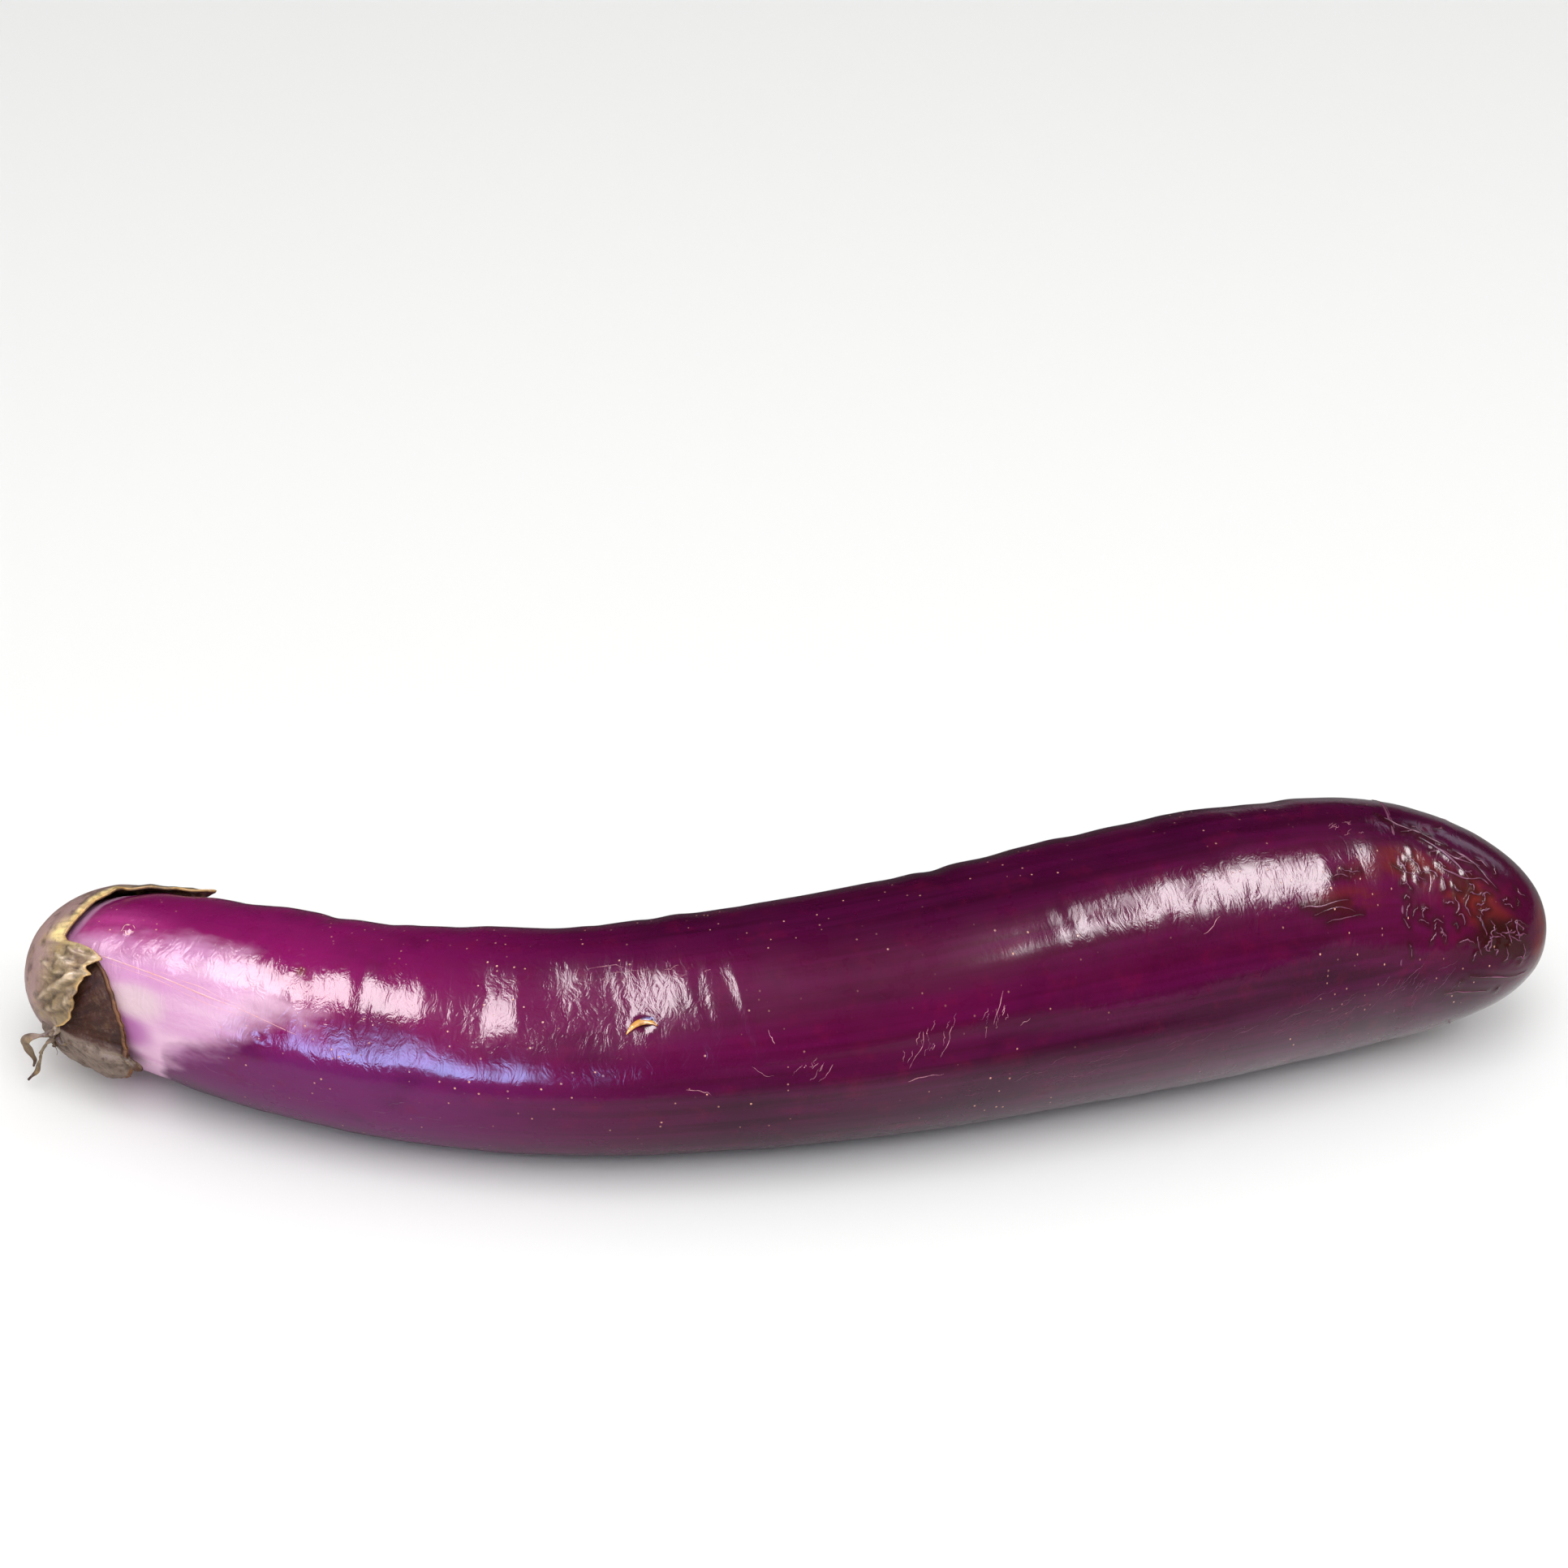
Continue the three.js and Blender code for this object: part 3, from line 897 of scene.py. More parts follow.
# The scab: its middle's reach and turn, and its length in mm. The skin lifts in a flake over it.
SCAB_REACH, SCAB_TURN, SCAB_LENGTH = 101.0, 50.0, 4.5
# The flake's bluish colour is a painted reflection of the window.
FLAKE_LINES = [
    (0.28, 0.45, [(100.4, 47.0), (101.2, 44.8), (102.3, 44.4), (103.2, 46.4)]),
]


def blobs(reach, turn, places):
    """How strongly a set of soft patches covers each place, from 0 to 1."""
    total = np.zeros(reach.shape)
    for place, round_at, half_length, half_turn, strength in places:
        off = np.hypot((reach - place) / half_length, turn_apart(turn, round_at) / half_turn)
        total = np.maximum(total, strength * (1 - ease(off, 0.35, 1.0)))
    return total


def wedge_depth(reach, turn):
    """How far inside the pale wedge a place is, in mm, and less than 0 outside it."""
    upper = np.interp(reach, WEDGE_REACH, WEDGE_UPPER)
    lower = np.interp(reach, WEDGE_REACH, WEDGE_LOWER)
    turn = np.mod(turn + 90, 360) - 90
    inside = np.minimum(turn - upper, lower - turn) * WEDGE_MM_PER_DEGREE
    return np.minimum(inside, (WEDGE_END - reach) * 0.5)


def scar_shade_amount(reach, turn):
    """Painted shade beside the scars and puckers: how close a place is to one, from 0 to 1."""
    amount = np.zeros(reach.shape)
    for _, _, places in (*SCAR_LINES, *PUCKERS):
        near = close_to(reach, places)
        off = line_distance(reach[near], turn[near], places, BLOSSOM_MM_PER_DEGREE)
        amount[near] = np.maximum(amount[near], hill(off, 1.1))
    return amount


def flush_amount(reach, turn):
    """Where the skin beside the wedge is a bright magenta, half way to pale."""
    turn = turn + 5 * soft_noise(reach, turn, 7, 12, 20)
    side = ease(turn_apart(turn, 0), -6, 16) * (1 - ease(turn_apart(turn, 60), 0, 60))
    return side * (1 - ease(reach, 17, 30))


def painted_side_shade(reach, turn):
    """How much painted shade darkens the skin's top and lower side."""
    turns, amounts = np.array(SIDE_SHADE).T
    wander = 10 * soft_noise(reach, turn, 26, 5, 17)
    side = np.interp(np.mod(turn + wander + 90, 360) - 90, turns, amounts)
    side = side + (0.45 - side) * ease(reach, 238, 251)
    return side * (0.25 + 0.75 * ease(reach, 55, 115))


def violet_amount(reach, turn):
    """Where the neck's underside turns violet."""
    turn = turn + 8 * soft_noise(reach, turn, 14, 6, 18)
    return ease(turn_apart(turn, 60), 0, 22) * (1 - ease(reach, 62, 108))


def skin_reaches():
    """Where the skin's rings lie: closer towards the blossom end, and on the round ends."""
    neck = NECK_CAP * (1 - np.cos(np.linspace(0.04, 0.5, 12) * np.pi))
    body = np.arange(NECK_CAP + 0.6, FRUIT_LENGTH - BLOSSOM_CAP, SKIN_STEP)
    blossom_turn = np.linspace(0, 0.5, 122)[:-1] * np.pi
    blossom = FRUIT_LENGTH - BLOSSOM_CAP * (1 - np.sin(blossom_turn))
    return np.concatenate([neck[neck < NECK_CAP], body, blossom])


def skin_surface():
    """The skin, with what its material needs to know at each vertex."""
    turn = np.arange(SKIN_SIDES) * 360 / SKIN_SIDES
    reach, turn = np.meshgrid(skin_reaches(), turn, indexing="ij")
    round_end = cap_at(FRUIT_LENGTH - reach, BLOSSOM_CAP)
    values = {
        "flow": wrapped_place(reach, turn, FLOW_RADIUS * round_end),
        "pale": wedge_depth(reach, turn),
        "flush": flush_amount(reach, turn),
        "rim_gap": reach - cup_rim(turn),
        "russet": blobs(reach, turn, RUSSET_PATCHES),
        "bruise": blobs(reach, turn, BRUISES),
        "blush": blobs(reach, turn, BLUSHES),
        "green": blobs(reach, turn, GREEN_PATCHES),
        # Painted shade on the skin's top and lower side.
        "side_shade": painted_side_shade(reach, turn),
        "violet": violet_amount(reach, turn),
        "ripple": ripple_amount(reach, turn),
        # Painted shade beside the scars and puckers.
        "crease": scar_shade_amount(reach, turn),
    }
    neck_tip, blossom_tip = spine_at(np.array([0.0, FRUIT_LENGTH]))
    surface = Surface()
    surface.add_rings(skin_point(reach, turn), neck_tip, blossom_tip, values)
    return surface


def ripe_skin(tree, look, flow):
    """The ripe colour: it changes along and round the fruit, with painted shade, streaks and
    patches.
    """
    share = reckon(tree, "DIVIDE", along_x(tree, flow), FRUIT_LENGTH * MM)
    stops = [
        (0.0, look.neck_colour),
        (0.20, look.neck_colour),
        (0.33, look.shoulder_colour),
        (0.52, look.body_colour),
        (0.75, look.body_colour),
        (0.86, look.blossom_colour),
        (1.0, look.blossom_colour),
    ]
    ripe = colour_run(tree, share, stops)
    for mask, tint in (
        ("flush", look.flush_colour),
        ("violet", look.violet_colour),
        # Painted shade on the top and the lower side.
        ("side_shade", look.dark_patch_and_shade_colour),
    ):
        ripe = blend_colours(tree, attribute(tree, mask), ripe, tint)
    lines, _ = fibres(tree, flow, 22.0, 620.0)
    streaks = times(tree, lines, rise(tree, share, 0.90, 0.98, 0.22, 0.0))
    ripe = blend_colours(tree, streaks, ripe, look.streak_colour)
    scales, amounts = (55.0, 210.0), (0.35, 0.22)
    return mottled(tree, flow, ripe, look.dark_patch_and_shade_colour, look.warm_colour, scales, amounts)


def pale_wedge(tree, look, flow):
    """How far the skin is pale, and its colour there. The wedge frays out in fine streaks."""
    fray = grain(tree, flow, FRAY, 5.0, 0.65, 0.4)
    broad_fray = grain(tree, flow, BROAD_FRAY)
    blotches = grain(tree, flow, BLOTCHES, 3.0, 0.6)
    ragged = attribute(tree, "pale")
    for pattern, reach_mm in ((fray, 1.6), (broad_fray, 4.5), (blotches, 9.0)):
        ragged = piled(tree, ragged, (reckon(tree, "SUBTRACT", pattern, 0.5), reach_mm))
    amount = rise(tree, ragged, -3.2, 4.2)
    beside_calyx = rise(tree, attribute(tree, "rim_gap"), 0.5, 1.6, 0.6, 0.0)
    amount = reckon(tree, "MAXIMUM", amount, beside_calyx)
    softened = piled(tree, times(tree, broad_fray, 0.65), (fray, 0.35))
    lilac = rise(tree, softened, 0.38, 0.64)
    colour = blend_colours(tree, lilac, look.pale_colour, look.lilac_colour)
    colour = blend_colours(tree, attribute(tree, "blush"), colour, look.blush_colour)
    colour = blend_colours(tree, attribute(tree, "green"), colour, look.green_colour)
    return amount, colour


def skin_specks(tree, flow):
    """Pin-prick speckles, in loose clusters."""
    place = stretched(tree, flow, (1.0, 0.85, 0.85))
    values = {"Vector": place, "Scale": 680.0, "Randomness": 1.0}
    cells = wire(tree, "ShaderNodeTexVoronoi", values).outputs
    dot = rise(tree, cells["Distance"], 0.07, 0.13, 1.0, 0.0)
    pick = wire(tree, "ShaderNodeSeparateColor", {0: cells["Color"]}).outputs["Red"]
    chosen = rise(tree, pick, 0.4, 0.45)
    cluster = rise(tree, grain(tree, flow, 42.0, 2.0), 0.40, 0.58)
    size = rise(tree, grain(tree, flow, 700.0, 0.0), 0.3, 0.55, 0.25, 1.0)
    return times(tree, dot, chosen, cluster, size)


def skin_normal(tree, flow, speck):
    """Relief too fine for the mesh: cross-wise ripples, peel, scuffs and the specks' pits."""
    ripples = grain(tree, flow, RIPPLES, 3.0, 0.62, 1.4)
    peel = grain(tree, flow, PEEL, 2.0)
    scuffs = grain(tree, flow, SCUFFS, 3.0, 0.6, 1.2)
    height = times(tree, ripples, RIPPLE_HEIGHT, attribute(tree, "ripple"))
    finer = ((peel, PEEL_HEIGHT), (scuffs, SCUFF_HEIGHT), (speck, -SPECK_DEPTH))
    return bump_normal(tree, piled(tree, height, *finer))


def skin_material(look):
    """The skin: its ripe colour, pale wedge, russet, bruises, painted shade beside its scars,
    specks, ripples and wax.
    """
    material, tree, shader = new_material("Eggplant Skin")
    flow = attribute(tree, "flow", "Vector")
    pale_amount, pale_colour = pale_wedge(tree, look, flow)
    colour = blend_colours(tree, pale_amount, ripe_skin(tree, look, flow), pale_colour)
    cork = grain(tree, flow, CORK, 5.0, 0.7)
    russet = times(tree, attribute(tree, "russet"), rise(tree, cork, 0.32, 0.56))
    bruise = times(tree, attribute(tree, "bruise"), rise(tree, cork, 0.2, 0.5))
    # Painted shade beside the scars and puckers, in the bruise colour.
    crease = times(tree, attribute(tree, "crease"), 0.75)
    speck = skin_specks(tree, flow)
    for mask, tint in (
        (russet, look.russet_colour),
        (bruise, look.bruise_and_shade_colour),
        (crease, look.bruise_and_shade_colour),
        (speck, look.speck_colour),
    ):
        colour = blend_colours(tree, mask, colour, tint)
    rough = rise(tree, grain(tree, flow, 120.0, 4.0, 0.6), 0.3, 0.7, 0.24, 0.38)
    normal = skin_normal(tree, flow, speck)
    values = {
        "Base Color": colour,
        "Roughness": piled(tree, rough, (russet, 0.2)),
        "Coat Weight": piled(tree, look.gloss, (pale_amount, -0.7 * look.gloss)),
        "Coat Roughness": 0.14,
        "Coat IOR": 1.5,
        "Specular IOR Level": 0.05,
        "Normal": normal,
        "Coat Normal": normal,
    }
    set_inputs(tree, shader, values)
    return material


def scatter_scratches(groups, seed):
    """The finer scratches of every group, each bent a little."""
    dice = np.random.default_rng(seed)
    lines = []
    for count, (reach, turn), (run, side), heading, longest in groups:
        for _ in range(count):
            start = np.array([dice.normal(reach, run / 2), dice.normal(turn, side / 2)])
            angle = math.radians(heading + dice.normal(0, 12))
            length = longest * dice.uniform(0.25, 1.0)
            across = math.degrees(1 / float(barrel_at(start[0])))
            step = np.array([math.cos(angle), -math.sin(angle) * across]) * length / 2
            bend = np.array([step[1] / across, step[0] * across]) * dice.normal(0, 0.12)
            places = [tuple(start - step), tuple(start + bend), tuple(start + step)]
            lines.append((dice.uniform(0.016, 0.032), SCRATCH_HEIGHT, places))
    return lines


def skin_lines(lines, sink=0.3):
    """Thin tapered ridges that lie on the skin, sunk into it by a share of their height."""
    surface = Surface()
    for half_width, height, places in lines:
        share = np.linspace(0, 1, len(places))
        even = np.linspace(0, 1, 8 + 6 * len(places))
        reaches, turns = zip(*places)
        reach = curve_through(list(zip(share, reaches)))(even)
        turn = curve_through(list(zip(share, turns)))(even)
        seed, along = int(reach[0] * 7), even * 40
        reach = reach + 0.16 * soft_noise(along, 0, 6, 8, seed + 1)
        turn = turn + 0.7 * soft_noise(along, 0, 6, 8, seed + 2)
        taper = np.sqrt(np.clip(np.sin(even * np.pi), 0.03, 1))
        taper = taper * (1 + 0.5 * soft_noise(along, 0, 4, 8, seed))
        centre, outward = skin_and_outward(reach, turn, height * (0.5 - sink))
        path = np.column_stack([centre, half_width * taper, height * 0.5 * taper])
        surface.add_rings(ribbon_rings(path, outward, 8), centre[0], centre[-1])
    return surface


def line_material(name, colour, second, roughness):
    """Corky or scratched tissue: two tones that alternate in small patches."""
    material, tree, shader = new_material(name)
    scales, amounts = (420.0, 1500.0), (0.9, 0.4)
    values = {
        "Base Color": mottled(tree, own_place(tree), colour, second, colour, scales, amounts),
        "Roughness": roughness,
        "Coat Weight": 0.5,
        "Coat Roughness": 0.15,
    }
    set_inputs(tree, shader, values)
    return material


def scab_surface():
    """A lifted crescent of dried skin at the edge of a small hollow."""
    share = np.linspace(0, 1, 26)
    reach = SCAB_REACH + (share - 0.5) * SCAB_LENGTH
    turn = SCAB_TURN - 4.4 * np.sin(share * np.pi) ** 0.8 + 3.0 * (0.5 - share)
    centre, outward = skin_and_outward(reach, turn, 0.30)
    body = np.sin(np.clip(share, 0.02, 0.98) * np.pi) ** 0.6
    path = np.column_stack([centre, 0.62 * body, 0.30 * body])
    side = np.cross(outward, np.gradient(centre, axis=0))
    side /= np.linalg.norm(side, axis=1, keepdims=True)
    surface = Surface()
    surface.add_rings(ribbon_rings(path, outward + 0.5 * side, 12), centre[0], centre[-1])
    return surface


# ---------------------------------------------------------------- the calyx

CUP_SIDES = 330
CUP_RINGS = 74
FOLD_COLUMNS = 230
FOLD_ROWS = 90
# Where the folded sepal and the curls are knotted together.
KNOT_REACH = 7.0
KNOT_TURN = 99.0
# How many millimetres a degree of turn is worth on the neck, and under the torn flap.
NECK_MM_PER_DEGREE = 0.23
FLAP_MM_PER_DEGREE = 0.26
# The turns of the three long sepals.
SEPAL_TURNS = (186, 250, 311)
# The torn flap: it starts, is full from and to, and ends at these turns.
FLAP_TURNS = (34, 42, 92, 104)
# Where the cup stands off the neck by less than this, in mm, it follows its inner face's crown.
CLOSE_OUTSET = 1.2

# Fine relief of dried tissue, in metres.
FIBRE_HEIGHT = 0.0002
WEAR_HEIGHT = 0.00022
PORE_HEIGHT = 0.00008

# The cup's rim and the folded sepal's: turn in degrees, and reach along the neck in mm.
CUP_RIM = [
    (0, 10.0), (12, 9.5), (24, 9.0), (32, 8.7), (36, 9.6), (39, 12.6), (42, 15.6), (45, 17.0),
    (46.5, 17.8), (48.5, 16.8), (51, 16.2), (54, 17.0), (55.5, 17.5), (57.5, 16.2), (61, 15.6),
    (65, 14.4), (68, 14.0), (73, 14.6), (77, 13.9), (83, 12.4), (90, 10.6), (96, 8.4),
    (103, 7.6), (115, 8.0), (130, 8.6), (146, 9.4), (158, 11.0), (170, 15.2), (179, 19.0),
    (186, 21.2), (192, 19.2), (202, 14.0), (214, 10.4), (224, 10.6), (234, 15.0), (243, 21.6),
    (250, 26.8), (256, 22.4), (265, 15.4), (276, 11.0), (285, 11.6), (295, 15.4), (304, 20.8),
    (311, 24.4), (318, 20.6), (326, 15.4), (334, 12.2), (345, 11.2),
]
FOLD_RIM = [
    (36, 10.0), (44, 15.2), (50, 17.2), (57.5, 18.7), (65, 20.0), (71.5, 20.9), (80, 21.5),
    (88, 21.9), (98, 22.2), (108, 22.6), (116, 22.0), (126, 20.0), (136, 16.6), (146, 12.0),
    (152, 8.0),
]
FOLD_START = 4.0
SHEET_THICKNESS = 0.42

# Ridges of the dried flap: height and half width in mm, then (reach, turn) points.
FLAP_RIDGES = [
    (0.85, 0.75, [(4.6, 80), (7.1, 71), (10.3, 63), (13.5, 56), (15.5, 53.5), (17.0, 50.5)]),
    (0.55, 0.45, [(8.6, 46), (9.8, 48.5), (11.6, 51.5), (13.3, 52), (15.4, 51)]),
    (0.50, 0.55, [(4.6, 50), (5.6, 52), (8.8, 58), (10.3, 57), (11.5, 58), (13.0, 56)]),
    (0.40, 1.0, [(7.2, 84), (10.0, 78.5), (11.8, 74), (13.7, 68.5)]),
    (0.40, 0.45, [(6.0, 62), (8.0, 66), (10.6, 67.5), (13.0, 65)]),
    (0.45, 0.4, [(11.0, 42), (12.6, 45), (14.6, 46), (16.6, 46.5)]),
    (0.35, 0.4, [(12.4, 60), (14.0, 59.5), (16.4, 55.5)]),
    (0.30, 0.35, [(8.4, 53), (9.4, 50.5), (10.6, 48), (12.4, 47.6)]),
    (-0.45, 0.8, [(5.4, 84), (9.0, 73), (12.0, 64.5), (15.0, 58.5)]),
    (-0.30, 0.6, [(7.0, 88), (9.6, 84), (12.0, 80)]),
    (-0.30, 0.5, [(7.6, 61), (10.4, 60), (13.4, 54.5), (15.0, 49.5)]),
]

# The folded sepal's dried tip, from its place near the crown: X, Y, Z, half width, half thickness.
CURLS = [
    [
        (1.4, 0.4, 0.4, 0.56, 0.28), (-0.6, -0.3, 0.6, 0.60, 0.21),
        (-2.8, -0.6, 0.2, 0.44, 0.18), (-4.5, 0.0, -1.2, 0.68, 0.16),
        (-4.9, 0.6, -3.4, 0.58, 0.14), (-4.2, 1.4, -5.8, 0.34, 0.13),
        (-4.4, 2.0, -7.9, 0.14, 0.10),
    ],
    [
        (1.0, 0.2, -0.3, 0.48, 0.28), (-0.6, -0.2, -1.2, 0.48, 0.21),
        (-2.2, 0.4, -3.2, 0.37, 0.18), (-3.0, 0.9, -5.6, 0.40, 0.16),
        (-3.6, 1.0, -7.6, 0.36, 0.14), (-5.4, 0.8, -10.2, 0.18, 0.11),
    ],
]
KNOT_STRANDS = [
    [
        (1.9, 0.2, 1.9, 0.55, 0.3), (0.9, -0.5, 1.7, 0.75, 0.3), (0.2, -0.8, 0.5, 0.7, 0.32),
        (-0.1, -0.6, -0.9, 0.75, 0.3), (-0.2, -0.2, -2.2, 0.4, 0.25),
    ],
    [
        (2.4, 0.4, 1.2, 0.5, 0.3), (3.4, -0.3, 0.0, 0.55, 0.3), (2.2, -0.7, -0.7, 0.6, 0.3),
        (0.6, -0.7, -0.6, 0.6, 0.3),
    ],
    [
        (0.4, -0.4, -0.6, 0.45, 0.25), (2.4, -0.9, -1.0, 0.55, 0.25),
        (4.4, -1.0, -1.0, 0.5, 0.22), (6.4, -0.9, -1.5, 0.3, 0.2),
    ],
]
# Loose fibres from the same place: X, Y and Z.
LOOSE_FIBRES = [
    [(0.2, -0.4, -1.8), (1.6, -0.8, -2.9), (3.2, -0.8, -3.4)],
    [(2.6, -0.7, -1.6), (4.4, -1.0, -2.6), (5.2, -0.7, -4.4)],
    [(-0.2, -0.4, -1.6), (0.4, -0.8, -3.0), (0.2, -0.6, -3.9)],
]
FIBRE_RADIUS = 0.07
# Where the curls start from: turn, and how far off the neck in mm.
CURL_TURN = 105.0
CURL_OUTSET = 2.4
# The rolled lip at the end of the fold: reach, turn, outset, half width and half thickness.
LIP_PATH = [
    (20.2, 101.0, 1.5, 0.3, 0.25), (21.4, 104.0, 1.7, 0.55, 0.4), (22.5, 107.5, 1.8, 0.7, 0.5),
    (23.2, 110.5, 1.7, 0.7, 0.55), (23.0, 113.5, 1.3, 0.5, 0.45),
    (22.2, 116.0, 0.9, 0.25, 0.25),
]


def cup_rim(turn):
    """How far the cup runs along the neck at a turn, ragged at its edge."""
    turns, reaches = np.array(CUP_RIM, float).T
    smooth = np.interp(np.mod(turn, 360), turns, reaches, period=360)
    ragged = noises(0, np.mod(turn, 360), (0.42, 5, 64, 51), (0.26, 5, 150, 52))
    return smooth + ragged * (0.15 + ease(smooth, 9.0, 13.0))


def front_flap(turn):
    """1 on the torn flap of the front sepal and 0 elsewhere."""
    return between(turn, *FLAP_TURNS)


def neck_point(reach, turn, outset, start):
    """Points at an outset from the fruit's neck, on a round crown that begins at start."""
    cap = cap_at(reach - start, NECK_CAP - start)
    return point_at(reach, turn, (barrel_at(reach) + outset) * cap)


def flap_folds(reach, turn):
    """The crumpled relief of the dried flap, in mm."""
    folds = 0
    for height, half, places in FLAP_RIDGES:
        off = line_distance(reach, turn, places, FLAP_MM_PER_DEGREE)
        folds = folds + height * hill(off, half)
    crumpled = creases(reach, turn, 0.24, 2.4, 2.3, 34, 63)
    crumpled = crumpled + creases(reach, turn, 0.12, 2.2, 1.1, 70, 64)
    return folds + crumpled * (1 - 0.6 * ease(turn, 64, 76))


def cup_outset(reach, turn, share):
    """How far the cup's outer face stands off the neck: its thickness, flap, folds and ribs."""
    flap = front_flap(turn)
    thick = CROWN_THICKNESS + (1.1 - CROWN_THICKNESS) * np.sqrt(share)
    thick = thick - 0.45 * (1 - flap) * ease(reach, 9, 13)
    raised = 1.05 * flap * ease(reach, 6, 13)
    lip = 0.45 * flap * ease(share, 0.86, 1.0)
    ribs = noises(reach, turn, (0.10, 9, 46, 61), (0.05, 5, 90, 62))
    folds = flap * ease(share, 0.25, 0.55) * flap_folds(reach, turn)
    rough = creases(reach, turn, 0.30, 2, 3.0, 34, 65)
    rough = rough + 0.16 * soft_noise(reach, turn, 1.3, 80, 66)
    rough = rough * ease(reach, 8, 14) * (1 - flap)
    midrib = 0
    for sepal in SEPAL_TURNS:
        midrib = midrib + 0.5 * hill(turn_apart(turn, sepal), 5) * ease(reach, 8, 13)
    lumps = noises(reach, turn, (0.22, 7, 9, 67), (0.05, 1.6, 54, 69)) * ease(reach, 0, 4)
    curl = 0.25 * (1 - flap) * ease(share, 0.9, 1.0) * soft_noise(reach, turn, 6, 30, 68)
    return CALYX_GAP + thick + raised + lip + ribs + midrib + lumps + curl + folds + rough


def two_faces(outer, inner, axis=0):
    """The rings of a sheet: along its outer face, and back along its inner one."""
    return np.concatenate([outer, np.flip(inner, axis)], axis)


def cup_values(reach, turn, share, rim_gap):
    """What the cup's material needs to know: pairs for its outer and its inner face."""
    flap = front_flap(turn)
    torn = flap * ease(share, 0.35, 0.62)
    folds = flap_folds(reach, turn)
    edge = 1 - ease(rim_gap, 0.15, 0.7)
    corner = hill(turn_apart(turn, 30), 18) * (1 - ease(rim_gap, 1.8, 4.6))
    strip = hill(turn_apart(turn, 0), 75) * (1 - ease(rim_gap, 0.7, 1.5))
    gold = np.maximum(corner, strip)
    place = wrapped_place(reach, turn, math.degrees(NECK_MM_PER_DEGREE))
    none, whole = np.zeros(reach.shape), np.ones(reach.shape)
    return {
        "grain_place": (place, place),
        "flap": (torn, none),
        "rim": (edge, edge),
        "gold": (gold, gold),
        "dry": (ease(reach, 8, 13) * (1 - flap), whole),
        "inside": (none, whole),
        "fibrous": (ease(reach, 3, 9), whole),
        # Painted highlight on the flap's raised folds, and painted shade in the grooves between
        # them.
        "ridge_highlight": (torn * ease(folds, 0.05, 0.6), none),
        "groove_shade": (0.6 * torn * (1 - ease(folds, -0.6, 0.15)), none),
    }


def cup_surface():
    """The cup that clasps the neck: a thick crown that thins out to a ragged rim."""
    turn = np.arange(CUP_SIDES) * 360 / CUP_SIDES
    share, turn = np.meshgrid(np.linspace(0.02, 1, CUP_RINGS) ** 1.5, turn, indexing="ij")
    rim = cup_rim(turn)
    start, inner_start = -(CALYX_GAP + CROWN_THICKNESS), -CALYX_GAP
    reach = start + (rim - start) * share
    outset = cup_outset(reach, turn, share)
    crown_start = np.where(outset < CLOSE_OUTSET, inner_start, start)
    outer = neck_point(reach, turn, outset, crown_start)
    sheet = 0.45 + 1.6 * (1 - share) ** 2
    inner_reach = inner_start + (rim - 0.05 - inner_start) * share
    inner_outset = np.maximum(outset - sheet, CALYX_GAP * 0.9)
    inner = neck_point(inner_reach, turn, inner_outset, inner_start)
    pairs = cup_values(reach, turn, share, rim - reach)
    values = {name: two_faces(*pair) for name, pair in pairs.items()}
    tips = point_at(np.array([start, inner_start]), 0.0, 0.0)
    surface = Surface()
    surface.add_rings(two_faces(outer, inner), *tips, values)
    return surface


def knot_bearing(reach, turn):
    """How far places on the neck are from the knot, in mm, and their bearing from it."""
    spread = (turn - KNOT_TURN) * NECK_MM_PER_DEGREE
    bearing = np.arctan2(spread, reach - KNOT_REACH + 1.5)
    return np.hypot(spread, reach - KNOT_REACH), bearing


def fold_outset(reach, turn, share):
    """How far the folded sepal stands off the neck, with fibres that fan out from its knot."""
    below = ease(turn, 96, 108)
    base = 0.75 + 0.35 * ease(turn, 60, 92) + 1.5 * below
    base = base - 0.7 * below * ease(share, 0.75, 1.0)
    distance, bearing = knot_bearing(reach, turn)
    bearing = np.degrees(bearing)
    fan = noises(distance, bearing, (0.30, 5.0, 44, 71), (0.16, 2.5, 110, 72))
    buckle = 0.315 * soft_noise(reach, turn, 4.5, 20, 73)
    hem = 0.42 * ease(share, 0.93, 0.97) * (1 - below)
    crease = 0.55 * hill(turn - 99.5 - 0.2 * (reach - 12), 3.2) * ease(share, 0.2, 0.5)
    swirl = below * creases(reach, turn, 0.30, 2, 2.2, 40, 74)
    return base + (fan + buckle) * ease(share, 0.05, 0.4) + hem + crease + swirl


def fold_surface():
    """The folded-back sepal: a thin sheet with two faces, closed at its edges."""
    turn = np.linspace(FOLD_RIM[0][0], FOLD_RIM[-1][0], FOLD_COLUMNS)
    share, turn = np.meshgrid(np.linspace(0, 1, FOLD_ROWS), turn, indexing="ij")
    rim = curve_through(FOLD_RIM)(turn)
    rim = rim + noises(turn * 0.12, 0, (0.30, 0.7, 6, 75), (0.16, 0.3, 6, 76))
    reach = FOLD_START + (rim - FOLD_START) * share
    neck = barrel_at(reach) * cap_at(reach + 1.2, NECK_CAP + 1.2)
    outer_radius = neck + fold_outset(reach, turn, share)
    outer = point_at(reach, turn, outer_radius)
    inner = point_at(reach, turn, outer_radius - SHEET_THICKNESS)
    rings = two_faces(outer, inner, 1)
    distance, bearing = knot_bearing(reach, turn)
    place = np.stack([distance, bearing * 12, 0 * distance], -1) * MM
    # Painted shade in the hollow beside the knot.
    hollow = hill(np.hypot(turn - KNOT_TURN + 7, 3 * (reach - KNOT_REACH - 1.5)), 9)
    values = {
        "grain_place": place,
        "fibrous": np.ones(reach.shape),
        "hollow": hollow,
        "below": ease(turn - 0.2 * (reach - 12), 98.4, 100.6),
        "edge": ease(share, 0.945, 0.975),
    }
    values = {name: two_faces(value, value, 1) for name, value in values.items()}
    surface = Surface()
    surface.add_rings(rings, rings[0].mean(0), rings[-1].mean(0), values)
    return surface


